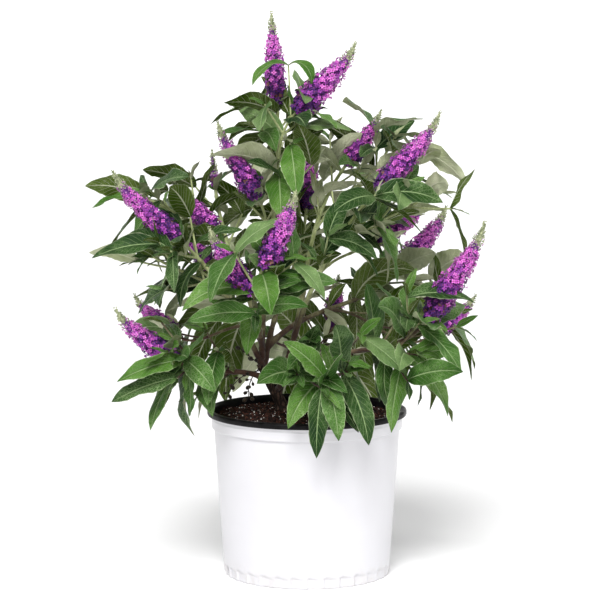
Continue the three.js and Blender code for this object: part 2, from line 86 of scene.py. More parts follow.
# a shader or geometry tree: each call adds a node, fed by numbers or by the sockets of other nodes
class Nodes:
    def __init__(self, tree):
        self.tree = tree

    def feed(self, socket, value):
        if isinstance(value, bpy.types.NodeSocket):
            self.tree.links.new(value, socket)
        else:
            socket.default_value = value

    def add(self, kind, values=None, **settings):
        made = self.tree.nodes.new(kind)
        for key, value in settings.items():
            setattr(made, key, value)
        for key, value in (values or {}).items():
            self.feed(made.inputs[key], value)
        return made.outputs

    def math(self, operation, *terms, clamp=False):
        return self.add("ShaderNodeMath", dict(enumerate(terms)), operation=operation, use_clamp=clamp)[0]

    def plus(self, first, second):
        return self.math("ADD", first, second)

    def minus(self, first, second):
        return self.math("SUBTRACT", first, second)

    def times(self, first, second):
        return self.math("MULTIPLY", first, second)

    def scaled(self, value, factor, offset):
        return self.math("MULTIPLY_ADD", value, factor, offset)

    def vector(self, operation, values):
        return self.add("ShaderNodeVectorMath", values, operation=operation)[0]

    def split(self, vector):
        return self.add("ShaderNodeSeparateXYZ", {0: vector})

    def step(self, value, low, high):
        values = {"Value": value, "From Min": low, "From Max": high}
        return self.add("ShaderNodeMapRange", values, interpolation_type="SMOOTHSTEP")["Result"]

    def blend(self, factor, first, second):
        first, second = [(*colour, 1) if isinstance(colour, tuple) else colour for colour in (first, second)]
        return self.add("ShaderNodeMix", {0: factor, 6: first, 7: second}, data_type="RGBA")[2]

    def cells(self, vector, scale):
        values = {"Vector": vector, "Scale": scale}
        return self.add("ShaderNodeTexVoronoi", values, feature="DISTANCE_TO_EDGE")["Distance"]

    def named(self, label, kind):
        return self.add("GeometryNodeInputNamedAttribute", {"Name": label}, data_type=kind)[0]


# a new node group with its named inputs and outputs: name, kind of socket and value
def nodeGroup(kind, name, inputs, outputs):
    tree = bpy.data.node_groups.new(name, kind + "NodeTree")
    for side, sockets in (("INPUT", inputs), ("OUTPUT", outputs)):
        for label, kindOfSocket, *value in sockets:
            socket = tree.interface.new_socket(label, in_out=side, socket_type="NodeSocket" + kindOfSocket)
            if value:
                socket.default_value = value[0]
    nodes = Nodes(tree)
    return nodes, nodes.add("NodeGroupInput"), tree.nodes.new("NodeGroupOutput").inputs


# mottle: a soft uneven mask and a fine grain, for plastic, bark, leaves and petals alike
def mottleGroup():
    tree, given, made = nodeGroup("Shader", "mottle", [
        ("Vector", "Vector"), ("Scale", "Float"), ("Grain", "Float"), ("Contrast", "Float")],
        [("Mask", "Float"), ("Grain", "Float")])
    broad = tree.add("ShaderNodeTexNoise", {
        "Vector": given["Vector"], "Scale": given["Scale"], "Detail": 3.0, "Roughness": 0.6})
    fine = tree.add("ShaderNodeTexNoise", {"Vector": given["Vector"], "Scale": given["Grain"], "Detail": 2.0})
    scaled = tree.times(tree.minus(broad[0], 0.5), tree.times(given["Contrast"], 4.0))
    tree.feed(made["Mask"], tree.math("ADD", scaled, 0.5, clamp=True))
    tree.feed(made["Grain"], fine[0])
    return tree.tree


mottle = mottleGroup()


# a material: constants go on its own shader, and the rest is fed by nodes that read the object's own place
class Finish(Nodes):
    def __init__(self, name, **constants):
        self.material = bpy.data.materials.new(name)
        self.material.use_nodes = True
        super().__init__(self.material.node_tree)
        self.shader = self.tree.nodes["Principled BSDF"].inputs
        for key, value in constants.items():
            self.shader[key.replace("_", " ")].default_value = value
        self.place = self.add("ShaderNodeTexCoord")["Object"]

    def mottled(self, scale, grain, contrast):
        values = {"Vector": self.place, "Scale": scale, "Grain": grain, "Contrast": contrast}
        made = self.add("ShaderNodeGroup", values, node_tree=mottle)
        return made["Mask"], made["Grain"]

    def done(self, colour, roughness, height, depth, strength):
        self.feed(self.shader["Base Color"], colour)
        self.feed(self.shader["Roughness"], roughness)
        values = {"Height": height, "Distance": depth, "Strength": strength}
        self.feed(self.shader["Normal"], self.add("ShaderNodeBump", values)["Normal"])
        return self.material


def geometryTree(name, inputs):
    return nodeGroup("Geometry", name, [("Geometry", "Geometry"), *inputs], [("Geometry", "Geometry")])


# ends a geometry tree: real meshes, then each material on its own faces
def endTree(tree, made, geometry, *materials):
    last = tree.add("GeometryNodeRealizeInstances", {"Geometry": geometry})[0]
    for values in materials:
        last = tree.add("GeometryNodeSetMaterial", {"Geometry": last, **values})[0]
    tree.feed(made["Geometry"], last)
    return tree.tree


def plainMesh(source):
    graph = bpy.context.evaluated_depsgraph_get()
    return bpy.data.meshes.new_from_object(source.evaluated_get(graph))


# runs a geometry tree on an object and gives back its result as a plain mesh piece
def grow(name, source, tree, values):
    modifier = source.modifiers.new("grow", "NODES")
    modifier.node_group = tree
    for item in tree.interface.items_tree:
        if item.in_out == "INPUT" and item.name in values:
            modifier[item.identifier] = values[item.name]
    mesh = plainMesh(source)
    mesh.name = name
    source.modifiers.remove(modifier)
    bpy.data.objects.remove(source)
    return putInScene(name, mesh)


millimetre = 0.001


def newPiece(name, points, faces, materials=(), kinds=None, scale=millimetre):
    mesh = bpy.data.meshes.new(name)
    mesh.from_pydata((np.asarray(points) * scale).tolist(), [], [tuple(map(int, face)) for face in faces])
    for material in materials:
        mesh.materials.append(material)
    if kinds is not None:
        mesh.polygons.foreach_set("material_index", np.asarray(kinds, dtype=np.int32))
    mesh.shade_smooth()
    mesh.update()
    return putInScene(name, mesh)


def setValues(mesh, label, kind, domain, values):
    key = "vector" if kind == "FLOAT_VECTOR" else "value"
    mesh.attributes.new(label, kind, domain).data.foreach_set(key, np.asarray(values).ravel())


# points and edges that carry values for a geometry tree
def carrier(points, edges, **values):
    mesh = bpy.data.meshes.new("carrier")
    mesh.from_pydata((np.asarray(points) * millimetre).tolist(), edges, [])
    for label, column in values.items():
        column = np.array(column, dtype=np.float32)
        setValues(mesh, label, "FLOAT_VECTOR" if column.ndim == 2 else "FLOAT", "POINT", column)
    return putInScene("carrier", mesh)


def keepPiece(piece, slot, *nodes):
    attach(piece, "root")
    if nodes:
        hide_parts(*nodes)
    triangles = sum(len(face.vertices) - 2 for face in piece.data.polygons)
    print(f"{piece.name}: {triangles} triangles")


# the growth rule: canes, shoots, twigs and leaves, in millimetres and degrees

up = np.array([0.0, 0.0, 1.0])
pot = {"height": 200, "lipRadius": 120, "mixDrop": 2, "gap": 0.3}
trunk = {
    "foot": (-27, 0), "height": 54, "lean": 27, "toward": 180,
    "radii": [(0, 12), (0.08, 9.2), (0.3, 7.6), (0.65, 7), (1, 6.2)],
}
cane = {
    "footRadius": 3.7, "endRadius": 2, "sideRadius": 1.9, "sideEndRadius": 1.5, "pull": 0.38, "stretch": 36,
    "follow": 0.2, "rise": 0.3, "heart": 45,
}
leaf = {
    "nodes": [12, 40, 80, 126, 176, 230], "lengths": [88, 106, 116, 116, 110, 102], "fold": 0.16,
    "fromBare": 20, "fromFork": 24, "swing": 12, "sizes": (0.88, 1.1), "light": (0.35, 0.6, 0.45),
    "tilt": 0.3, "belly": 0.8, "taper": (0.75, 0.1),
    "rules": [
        {"opening": (58, 70), "slender": (0.33, 0.41), "bend": (0.35, 0.9), "apart": 5.5, "isYoung": False},
        {"opening": (64, 84), "slender": (0.33, 0.41), "bend": (0.6, 1.35), "apart": 5.5, "isYoung": False}],
}
twig = {
    "lastNode": 3, "lengths": (40, 62), "opening": 46, "above": 6, "radii": (1.4, 1.1),
    "leafLengths": (62, 90), "twoPairs": 0.25, "topPair": 0.94, "secondPair": 0.45, "shrink": 0.8,
    "rise": 0.15, "checks": (0.35, 0.7, 1), "turn": 0.3,
}
room = {
    "betweenMasses": 1.5, "fromLimbs": 4, "fromSpikes": 3, "overRim": 6, "stretches": 8, "spikeShare": 0.9,
}
# how a leaf is fitted in, one try after the other: turned by, sized by and bent by
tries = [
    (0, 1, 1), (0.4, 1, 0.7), (-0.4, 1, 0.7), (0, 0.8, 1.3), (0.8, 0.85, 1), (-0.8, 0.85, 1), (0, 0.6, 1)]


def placeAt(azimuth, reach, height):
    turn = math.radians(azimuth)
    return np.array([reach * math.cos(turn), reach * math.sin(turn), height])


def heading(azimuth, lean):
    return placeAt(azimuth, math.sin(math.radians(lean)), math.cos(math.radians(lean)))


def shoot(end, way, roll, spike=0, girth=0, fork=0):
    return {
        "end": placeAt(*end), "way": heading(*way), "roll": roll, "spike": spike, "girth": girth,
        "fork": fork,
    }


# name: the limb it grows from and the share of that limb below it, its leafy length, its seed and its shoots
canes = {
    "crown": ("trunk", 0.97, 250, 381, [
        shoot((140, 47, 566), (194, 4), 50, 109, 12.5),
        shoot((222, 15, 558), (352, 45), 90, 107, 16, 110),
        shoot((166, 62, 455), (201, 32), 40, 104, 13, 175)]),
    "upper_left": ("crown", 0.35, 130, 214, [
        shoot((146, 135, 462), (129, 9), 20, 46, 5),
        shoot((165, 205, 450), (180, 66), 10, fork=90)]),
    "left": ("trunk", 0.8, 150, 48, [
        shoot((198, 160, 410), (188, 48), 130, 112, 13.5),
        shoot((167, 109, 410), (180, 45), 60, 88, 12, 105),
        shoot((192, 190, 390), (184, 56), 30, fork=100)]),
    "left_low": ("trunk", 0.62, 105, 126, [
        shoot((198, 165, 266), (190, 53), 60, 94, 14),
        shoot((206, 180, 274), (202, 70), 0, fork=85)]),
    "front": ("crown", 0.14, 140, 757, [
        shoot((247, 125, 385), (328, 29), 90, 98, 14.5),
        shoot((235, 116, 352), (194, 36), 130, 90, 14, 95)]),
    "front_low": ("trunk", 0.4, 110, 865, [
        shoot((289, 142, 264), (294, 70), 110),
        shoot((265, 138, 262), (262, 66), 50, fork=85)]),
    "right_upper": ("trunk", 0.28, 190, 890, [
        shoot((340, 89, 466), (346, 43), 160, 120, 13.5),
        shoot((28, 95, 398), (14, 60), 60, 82, 12, 125),
        shoot((358, 150, 462), (0, 50), 60, fork=95)]),
    "upper_right": ("right_upper", 0.8, 180, 217, [
        shoot((57, 90, 490), (0, 36), 30, 78, 12),
        shoot((40, 135, 515), (20, 25), 130, fork=95)]),
    "right": ("right_upper", 0.3, 155, 357, [
        shoot((332, 161, 319), (339, 34), 70, 134, 15.5),
        shoot((322, 158, 282), (326, 62), 140, fork=110)]),
    "back": ("trunk", 0.88, 190, 911, [
        shoot((90, 150, 430), (77, 23), 150, 94, 13),
        shoot((118, 135, 445), (120, 30), 160, fork=110)]),
    "back_left": ("back", 0.35, 125, 689, [
        shoot((133, 170, 350), (141, 40), 90, 100, 13.5),
        shoot((158, 172, 280), (156, 56), 40, 76, 12, 110)]),
    "back_right": ("back", 0.55, 160, 177, [
        shoot((44, 166, 360), (30, 46), 90, 98, 13.5),
        shoot((20, 160, 280), (18, 56), 70, 78, 12, 120)]),
    "back_low": ("trunk", 0.55, 115, 263, [
        shoot((80, 166, 275), (76, 44), 100, 84, 13),
        shoot((108, 155, 270), (112, 60), 100, fork=90)]),
}


def chances(seed):
    state = seed

    def draw(low, high):
        nonlocal state
        state = (state * 1664525 + 1013904223) % 4294967296
        return low + (high - low) * state / 4294967296
    return draw


def unit(way):
    return way / np.linalg.norm(way)


def between(first, second, angle):
    return first * math.cos(angle) + second * math.sin(angle)


def acrossOf(direction):
    first = unit(np.array([1.0, 0.0, 0.0]) - direction * direction[0])
    return first, np.cross(direction, first)


def lengthOf(line):
    return float(np.linalg.norm(np.diff(line, axis=0), axis=1).sum())


# the point at a distance along a line, and the line's direction there
def along(line, distance):
    i = 0
    while i < len(line) - 2 and distance > np.linalg.norm(line[i + 1] - line[i]):
        distance -= np.linalg.norm(line[i + 1] - line[i])
        i += 1
    direction = unit(line[i + 1] - line[i])
    return line[i] + direction * distance, direction


# the line of a shoot from the joint that it leaves
def shootLine(made, joint, finer=1):
    (start, direction), end = joint, made["end"]
    way = unit(unit(end - start) + direction * cane["follow"] + up * cane["rise"])
    apart = float(np.linalg.norm(end - start))
    pull = apart * cane["pull"]
    count = max(4, math.floor(apart / cane["stretch"] + 0.5)) * finer
    t = np.linspace(0, 1, count + 1)[:, None]
    second, third = start + way * pull, end - made["way"] * pull
    return (1 - t) ** 3 * start + 3 * (1 - t) ** 2 * t * second + 3 * (1 - t) * t ** 2 * third + t ** 3 * end


trunkFoot = np.array([*trunk["foot"], pot["height"] - pot["mixDrop"] + pot["gap"]])
trunkWay = heading(trunk["toward"], trunk["lean"]) * trunk["height"] / math.cos(math.radians(trunk["lean"]))


def layOutCanes():
    trunkLine = np.array([trunkFoot, trunkFoot + trunkWay])
    lines = {"trunk": (trunkLine, lengthOf(trunkLine))}
    masses = []
    for index, (name, (parent, share, leafy, seed, shoots)) in enumerate(canes.items()):
        line, length = lines[parent]
        joint = along(line, length * share)
        for made in shoots:
            if made["fork"]:
                joint = along(shoots[0]["line"], lengthOf(shoots[0]["line"]) - made["fork"])
            made["line"] = shootLine(made, joint)
            made["fine"] = shootLine(made, joint, 4)
        length = lengthOf(shoots[0]["line"])
        lines[name] = (shoots[0]["line"], length - leafy)
        ends = [along(made["line"], lengthOf(made["line"]) - cane["heart"])[0] for made in shoots]
        masses.append({
            "name": name, "index": index, "shoots": shoots, "length": length, "bare": length - leafy,
            "seed": seed, "heart": np.mean(ends, axis=0), "leaves": [], "twigs": [], "joints": [],
        })
    return masses


masses = layOutCanes()
hearts = np.array([mass["heart"] for mass in masses])


def caneRadius(mass, distance):
    return cane["footRadius"] + (cane["endRadius"] - cane["footRadius"]) * distance / mass["length"]


# every limb, stem and spike as straight stretches: its owner, its ends and the reach round it
def layOutLimbs():
    limbs = []
    for mass in masses:
        for made in mass["shoots"]:
            isMain = made is mass["shoots"][0]
            length = lengthOf(made["line"])
            for i in range(room["stretches"]):
                low, high = [length * step / room["stretches"] for step in (i, i + 1)]
                owner = "bough" if isMain and high < mass["bare"] else mass["name"]
                radius = caneRadius(mass, low) if isMain else cane["sideRadius"]
                ends = along(made["line"], low)[0], along(made["line"], high)[0]
                limbs.append((owner, *ends, radius + room["fromLimbs"]))
            if made["spike"]:
                tip = made["end"] + made["way"] * made["spike"] * room["spikeShare"]
                limbs.append((mass["name"], made["end"], tip, made["girth"] + room["fromSpikes"]))
    return limbs


limbOwner, limbStart, limbEnd, limbReach = [np.array(part) for part in zip(*layOutLimbs())]


def inOwnSpace(mass, points):
    index = mass["index"]
    squares = ((points[:, None] - hearts[None]) ** 2).sum(2)
    apart = np.linalg.norm(hearts - hearts[index], axis=1)
    apart[index] = 1
    beyond = (squares - squares[:, index:index + 1]) / (2 * apart)
    beyond[:, index] = math.inf
    return bool((beyond > room["betweenMasses"]).all())


def hasRoom(mass, points):
    if not inOwnSpace(mass, points):
        return False
    overPot = np.hypot(points[:, 0], points[:, 1]) < pot["lipRadius"] + room["overRim"]
    if (overPot & (points[:, 2] < pot["height"] + room["overRim"])).any():
        return False
    others = limbOwner != mass["name"]
    start, way = limbStart[others], limbEnd[others] - limbStart[others]
    share = ((points[:, None] - start) * way).sum(2) / (way ** 2).sum(1)
    nearest = start + way * np.clip(share, 0, 1)[:, :, None]
    return bool((np.linalg.norm(points[:, None] - nearest, axis=2) > limbReach[others]).all())


def halfWidth(blade, share):
    swell = np.sin(np.pi * np.clip(share, 0, 1) ** leaf["belly"])
    sharp, sharper = leaf["taper"]
    return 0.5 * blade["width"] * np.clip(swell, 0, 1) ** (sharp + sharper * share)


# points of a blade at shares of its length and of its half width, lifted along its normal
def bladePoints(blade, share, across, lift=0.0):
    turn = (blade["bend"] * share)[:, None]
    out, fall, axis = blade["out"], blade["fall"], blade["axis"]
    tangent = out * np.cos(turn) + fall * np.sin(turn)
    side = (fall * np.cos(turn) - out * np.sin(turn)) * blade["sideFall"] + axis * blade["sideAxis"]
    normal = np.cross(tangent, side)
    half = halfWidth(blade, share) * across
    curl = blade["length"] / blade["bend"]
    centre = blade["base"] + out * np.sin(turn) * curl + fall * (1 - np.cos(turn)) * curl
    return centre + side * half[:, None] + normal * (lift + np.abs(half) * leaf["fold"])[:, None]


def makeBlade(base, out, skyward, length, width, bend, isYoung=False):
    drop = np.array([0.0, 0.0, -1.0]) + out * out[2]
    fall = unit(drop) if (drop ** 2).sum() > 1e-4 else acrossOf(out)[1]
    axis = np.cross(out, fall)
    side = np.cross(unit(skyward - out * skyward.dot(out)), out)
    return {
        "base": base, "out": out, "fall": fall, "axis": axis, "sideFall": side.dot(fall),
        "sideAxis": side.dot(axis), "length": length, "width": width, "bend": bend, "isYoung": isYoung,
    }


sampleShare = np.repeat(np.arange(2, 8) / 7, 5)
sampleAcross = np.tile([-1, -0.5, 0, 0.5, 1], 6)


def fits(mass, points, apart):
    if not hasRoom(mass, points):
        return False
    others = [blade["samples"] for blade in mass["leaves"]]
    if not others:
        return True
    return bool((np.linalg.norm(points[:, None] - np.concatenate(others), axis=2) > apart).all())


# a leaf at a joint, turned, made smaller or bent otherwise where it has no room, or else skipped
def addLeaf(mass, chance, joint, turn, length, rule):
    point, direction = joint
    first, second = acrossOf(direction)
    opening = math.radians(chance(*rule["opening"]))
    width = length * chance(*rule["slender"])
    bend = chance(*rule["bend"])
    tilt = chance(-leaf["tilt"], leaf["tilt"])
    forward, upward, outward = leaf["light"]
    light = direction * forward + up * upward + unit(np.array([point[0], point[1], 0.0])) * outward
    for nudge, scale, arch in tries:
        spread = between(first, second, turn + nudge)
        skyward = light + np.cross(direction, spread) * tilt
        blade = makeBlade(point, between(direction, spread, opening), skyward, length * scale, width * scale,
                          bend * arch, rule["isYoung"])
        blade["samples"] = bladePoints(blade, sampleShare, sampleAcross)
        if fits(mass, blade["samples"], rule["apart"]):
            mass["leaves"].append(blade)
            return


def addPair(mass, chance, joint, turn, length, rule):
    for half in (0, math.pi):
        addLeaf(mass, chance, joint, turn + half, length, rule)


def branchWay(direction, turn, opening):
    return between(direction, between(*acrossOf(direction), turn), math.radians(opening))


def addTwig(mass, joint, turn):
    point, direction = joint
    chance = mass["chance"]
    length = chance(*twig["lengths"])
    leafLength = chance(*twig["leafLengths"])
    roll = chance(0, math.pi)
    out = branchWay(direction, turn, twig["opening"])
    line = np.array([point, point + out * length + up * length * twig["rise"]])
    whole = lengthOf(line)
    if not hasRoom(mass, np.array([along(line, whole * share)[0] for share in twig["checks"]])):
        return
    mass["twigs"].append({"line": line, "radii": twig["radii"]})
    pairs = [(twig["topPair"], 1, 0)]
    if chance(0, 1) < twig["twoPairs"]:
        pairs.append((twig["secondPair"], twig["shrink"], math.pi / 2))
    for share, scale, quarter in pairs:
        spot = along(line, whole * share)
        mass["joints"].append((*spot, roll + quarter, True))
        addPair(mass, chance, spot, roll + quarter, leafLength * scale, leaf["rules"][0])


def growShoot(mass, made):
    length = lengthOf(made["line"])
    lowest = mass["bare"] + leaf["fromBare"] if made is mass["shoots"][0] else leaf["fromFork"]
    chance = mass["chance"]
    for k, below in enumerate(leaf["nodes"]):
        if length - below < lowest:
            continue
        joint = along(made["line"], length - below)
        turn = math.radians(made["roll"] + 90 * k + chance(-leaf["swing"], leaf["swing"]))
        size = leaf["lengths"][k] * chance(*leaf["sizes"])
        mass["joints"].append((*joint, turn, False))
        for half in (0, math.pi):
            addLeaf(mass, chance, joint, turn + half, size, leaf["rules"][min(k, 1)])
            if 0 < k <= twig["lastNode"]:
                addTwig(mass, along(made["line"], length - below + twig["above"]), turn + half + twig["turn"])


for mass in masses:
    mass["chance"] = chances(mass["seed"])
    for made in mass["shoots"]:
        growShoot(mass, made)
print("leaves by the source's rule:", sum(len(mass["leaves"]) for mass in masses))

# finer growth within the same reach: short side shoots in the armpits, young leaves at every end

finer = {
    "seed": 4000, "share": 0.2, "radii": (1.0, 0.7), "sideLengths": (9, 20), "sideOpening": 38,
    "sideLeaves": (26, 48), "endLeaves": (22, 38), "underSpike": (30, 46),
    "rise": 0.2, "pairAt": 0.92, "pairTurn": 1.4, "beyond": 3, "above": 4, "turn": -0.35, "shrink": 0.22,
    "spikePairs": [5], "endPairs": [7, 3, 1],
    "sideRule": {
        "opening": (34, 58), "slender": (0.3, 0.4), "bend": (0.3, 1.1), "apart": 3.2, "isYoung": True},
    "endRule": {
        "opening": (16, 34), "slender": (0.26, 0.36), "bend": (0.2, 0.8), "apart": 2.0, "isYoung": True},
}


def addSideShoot(mass, chance, point, direction, turn):
    length = chance(*finer["sideLengths"])
    size = chance(*finer["sideLeaves"])
    end = point + branchWay(direction, turn, finer["sideOpening"]) * length + up * length * finer["rise"]
    if not hasRoom(mass, end[None]):
        return
    before = len(mass["leaves"])
    way = unit(end - point)
    joint = (point + way * length * finer["pairAt"], way)
    addPair(mass, chance, joint, turn + finer["pairTurn"], size, finer["sideRule"])
    if len(mass["leaves"]) > before:
        mass["twigs"].append({"line": np.array([point, end]), "radii": finer["radii"]})


def growFiner(mass):
    chance = chances(mass["seed"] + finer["seed"])
    for point, direction, turn, isOnTwig in mass["joints"]:
        if isOnTwig:
            size = chance(*finer["endLeaves"])
            joint = (point + direction * finer["beyond"], direction)
            addPair(mass, chance, joint, turn + math.pi / 2, size, finer["endRule"])
            continue
        for half in (0, math.pi):
            if chance(0, 1) < finer["share"]:
                spot = point + direction * finer["above"]
                addSideShoot(mass, chance, spot, direction, turn + half + finer["turn"])
    for made in mass["shoots"]:
        rule = finer["sideRule" if made["spike"] else "endRule"]
        for k, below in enumerate(finer["spikePairs" if made["spike"] else "endPairs"]):
            joint = along(made["line"], lengthOf(made["line"]) - below)
            size = chance(*finer["underSpike"]) * (1 - finer["shrink"] * k)
            addPair(mass, chance, joint, math.radians(made["roll"] + 90 + 90 * k), size, rule)


for mass in masses:
    growFiner(mass)

# a short shoot beside the top cone, with a pair of young leaves that roll over: way, length, width and bend
rolledPair = {
    "below": 14, "top": (-22.0, -3.0, 612.0), "radii": (1.2, 0.9), "skyward": (0, -0.35, 1),
    "leaves": [((-0.78, -0.5, 0.34), 62, 18, 1.6), ((0.66, -0.5, 0.5), 52, 18, 2.3)],
}


def addRolledPair(mass):
    line = mass["shoots"][1]["line"]
    foot = along(line, lengthOf(line) - rolledPair["below"])[0]
    top = np.array(rolledPair["top"])
    mass["twigs"].append({"line": np.array([foot, top]), "radii": rolledPair["radii"]})
    for way, *sizes in rolledPair["leaves"]:
        mass["leaves"].append(makeBlade(top, unit(np.array(way)), np.array(rolledPair["skyward"]), *sizes))


addRolledPair(masses[0])

# gaps of open sky, seen from the front: across, height, and the reach in which no leaf has its middle
openings = {
    "crown": [(-72, 575, 3)],
    "upper_left": [(-197, 479, 9), (-155, 483, 10), (-129, 453, 6), (-154, 459, 5)],
    "left": [(-202, 364, 12)],
    "left_low": [(-123, 215, 10), (-194, 282, 18), (-151, 215, 7), (-124, 231, 8)],
    "right_upper": [(154, 437, 14), (111, 393, 3), (157, 471, 3)],
    "upper_right": [(92, 507, 8)],
    "right": [(119, 222, 16), (187, 322, 6)],
    "back_left": [(-128, 255, 4)],
    "back_right": [(96, 334, 4)],
    "back_low": [(26, 241, 6)],
}


def isOpen(blade, gaps):
    middle = bladePoints(blade, np.array([0.5]), np.zeros(1))[0]
    return any(math.hypot(middle[0] - x, middle[2] - z) < reach for x, z, reach in gaps)


for mass in masses:
    gaps = openings.get(mass["name"], ())
    mass["leaves"] = [blade for blade in mass["leaves"] if not isOpen(blade, gaps)]
print("leaves in all:", sum(len(mass["leaves"]) for mass in masses))

# leaf finishes

leafFinish = {
    # the first two set pale patches of painted sheen on the leaf, partly the leaf's own down
    "sheenPatch": 0.6, "down": 0.08, "cells": 300.0, "veins": 10.0, "slant": 2.4, "veinDepth": 0.0015,
    "sideEdge": (0.42, 0.49), "sideFade": 0.7, "sideStrength": 0.8, "middleEdge": (0.02, 0.09),
    # the last three paint a highlight along the leaf's edge
    "netEdge": (0.0, 0.15), "rimEdge": (0.9, 1.0), "rim": 0.45, "edgeHighlightColour": (0.5, 0.57, 0.35),
    "over": {"specular": 0.16, "net": 0.8, "vein": 0.72, "rough": 0.3, "rise": -1.0,
             "colour": (0.36, 0.5, 0.23)},
    "under": {"specular": 0.04, "net": 0.3, "vein": 0.75, "rough": 0.75, "rise": 1.0,
              "colour": (0.82, 0.85, 0.62)},
    "tints": {
        "leafDeep": ((0.007, 0.032, 0.004), (0.028, 0.082, 0.01)),
        "leafMid": ((0.022, 0.075, 0.008), (0.058, 0.152, 0.02)),
        "leafFresh": ((0.04, 0.125, 0.011), (0.094, 0.21, 0.027)),
        "leafGrey": ((0.068, 0.138, 0.036), (0.165, 0.265, 0.088)),
    },
    # undersides: the pale felt, and a darker copy of it with painted shade
    "felts": {
        "feltDark": ((0.042, 0.084, 0.006), (0.105, 0.165, 0.02)),
        "feltPale": ((0.34, 0.395, 0.19), (0.77, 0.8, 0.56)),
    },
}


# veins: the midrib, the side veins that slant toward the tip, the fine net between them, and a band along the
# edge for a painted highlight
def veinGroup():
    tree, given, made = nodeGroup("Shader", "leafVeins", [
        ("UV", "Vector"), ("Place", "Vector"), ("Veins", "Float", leafFinish["veins"]),
        ("Slant", "Float", leafFinish["slant"])], [("Vein", "Float"), ("Net", "Float"), ("Rim", "Float")])
    parts = tree.split(given["UV"])
    fromMiddle = tree.times(tree.math("ABSOLUTE", tree.minus(parts[1], 0.5)), 2.0)
    slanted = tree.minus(tree.times(parts[0], given["Veins"]), tree.times(fromMiddle, given["Slant"]))
    wave = tree.math("ABSOLUTE", tree.minus(tree.math("FRACT", slanted), 0.5))
    fading = tree.minus(1.0, tree.times(fromMiddle, leafFinish["sideFade"]))
    sides = tree.times(tree.step(wave, *leafFinish["sideEdge"]), fading)
    sides = tree.times(sides, leafFinish["sideStrength"])
    middle = tree.minus(1.0, tree.step(fromMiddle, *leafFinish["middleEdge"]))
    cells = tree.cells(given["Place"], leafFinish["cells"])
    tree.feed(made["Vein"], tree.math("MAXIMUM", middle, sides))
    tree.feed(made["Net"], tree.minus(1.0, tree.step(cells, *leafFinish["netEdge"])))
    tree.feed(made["Rim"], tree.step(fromMiddle, *leafFinish["rimEdge"]))
    return tree.tree


veins = veinGroup()


def leafMaterial(name, tint, side):
    finish = Finish(name, Specular_IOR_Level=side["specular"])
    flat = finish.add("ShaderNodeUVMap", uv_map="leaf")[0]
    lines = finish.add("ShaderNodeGroup", {"UV": flat, "Place": finish.place}, node_tree=veins)
    mask, grain = finish.mottled(scale=22.0, grain=900.0, contrast=0.7)
    # painted sheen: pale patches over the leaf, strongest on the fine net, partly the leaf's own pale down
    paintedSheen = finish.math("MULTIPLY", finish.math("POWER", mask, 2.0), leafFinish["sheenPatch"], clamp=True)
    downAndSheen = finish.times(finish.plus(finish.times(lines["Net"], side["net"]), leafFinish["down"]), paintedSheen)
    netted = finish.blend(downAndSheen, finish.blend(mask, *tint), side["colour"])
    veined = finish.blend(finish.times(lines["Vein"], side["vein"]), netted, side["colour"])
    # a painted highlight along the leaf's edge
    colour = finish.blend(finish.times(lines["Rim"], leafFinish["rim"]), veined, leafFinish["edgeHighlightColour"])
    ridge = finish.plus(lines["Vein"], finish.times(lines["Net"], 0.35))
    height = finish.plus(finish.times(ridge, side["rise"]), finish.times(grain, 0.25))
    rough = finish.scaled(grain, 0.2, side["rough"])
    return finish.done(colour, rough, height, depth=leafFinish["veinDepth"], strength=0.9)


leafMaterials = [leafMaterial(name, tint, leafFinish["over"]) for name, tint in leafFinish["tints"].items()]
leafMaterials += [leafMaterial(name, felt, leafFinish["under"]) for name, felt in leafFinish["felts"].items()]

# leaves: a thin closed blade with a sunken midrib above, a raised one below, and a toothed edge

leafShape = {
    "rows": 16, "smallRows": 9, "small": 52, "crown": 0.05, "groove": 0.012, "tooth": 0.03, "wave": 0.036,
    "twist": 0.35, "thick": 0.3, "keel": 0.011, "sharp": 70, "folds": (-0.08, 0.1), "waves": (1.2, 2.4),
    "rib": 0.1, "ends": (0.25, 0.6), "seed": 700,
    # which material a leaf has: the shares of the tints and of the pale felt, low and high in the bush; the
    # other felt is a darker copy with painted shade, so the low leaves carry more painted shade
    "change": 0.45, "high": 420, "shares": ((0.38, 0.38, 0.13, 0.11), (0.38, 0.34, 0.14, 0.14)),
    "pale": (0.34, 0.75), "youngFresh": 0.5, "fresh": 2, "paintedShadeFelt": 4, "paleFelt": 5,
}

# seven points over the upper side from edge to edge, then three under it
leafAcross = np.array([-1, -0.56, -0.13, 0, 0.13, 0.56, 1, -0.5, 0, 0.5])
underSide = [0] * 7 + [1] * 3
underRib = [0] * 7 + [0.2, 1, 0.2]
underPairs = [(0, 7), (7, 8), (8, 9), (9, 6)]


# faces of one leaf with this many rows of points, then its root and its tip
def leafTemplate(count):
    stride = len(leafAcross)
    root, tip, last = stride * count, stride * count + 1, stride * (count - 1)
    above, below = [], []
    for here in range(0, last, stride):
        there = here + stride
        above += [(here + k, there + k, there + k + 1, here + k + 1) for k in range(6)]
        below += [(here + k, here + n, there + n, there + k) for k, n in underPairs]
    above += [(root, k, k + 1) for k in range(6)] + [(tip, last + k + 1, last + k) for k in range(6)]
    for k, n in underPairs:
        below += [(root, n, k), (tip, last + k, last + n)]
    return above, below


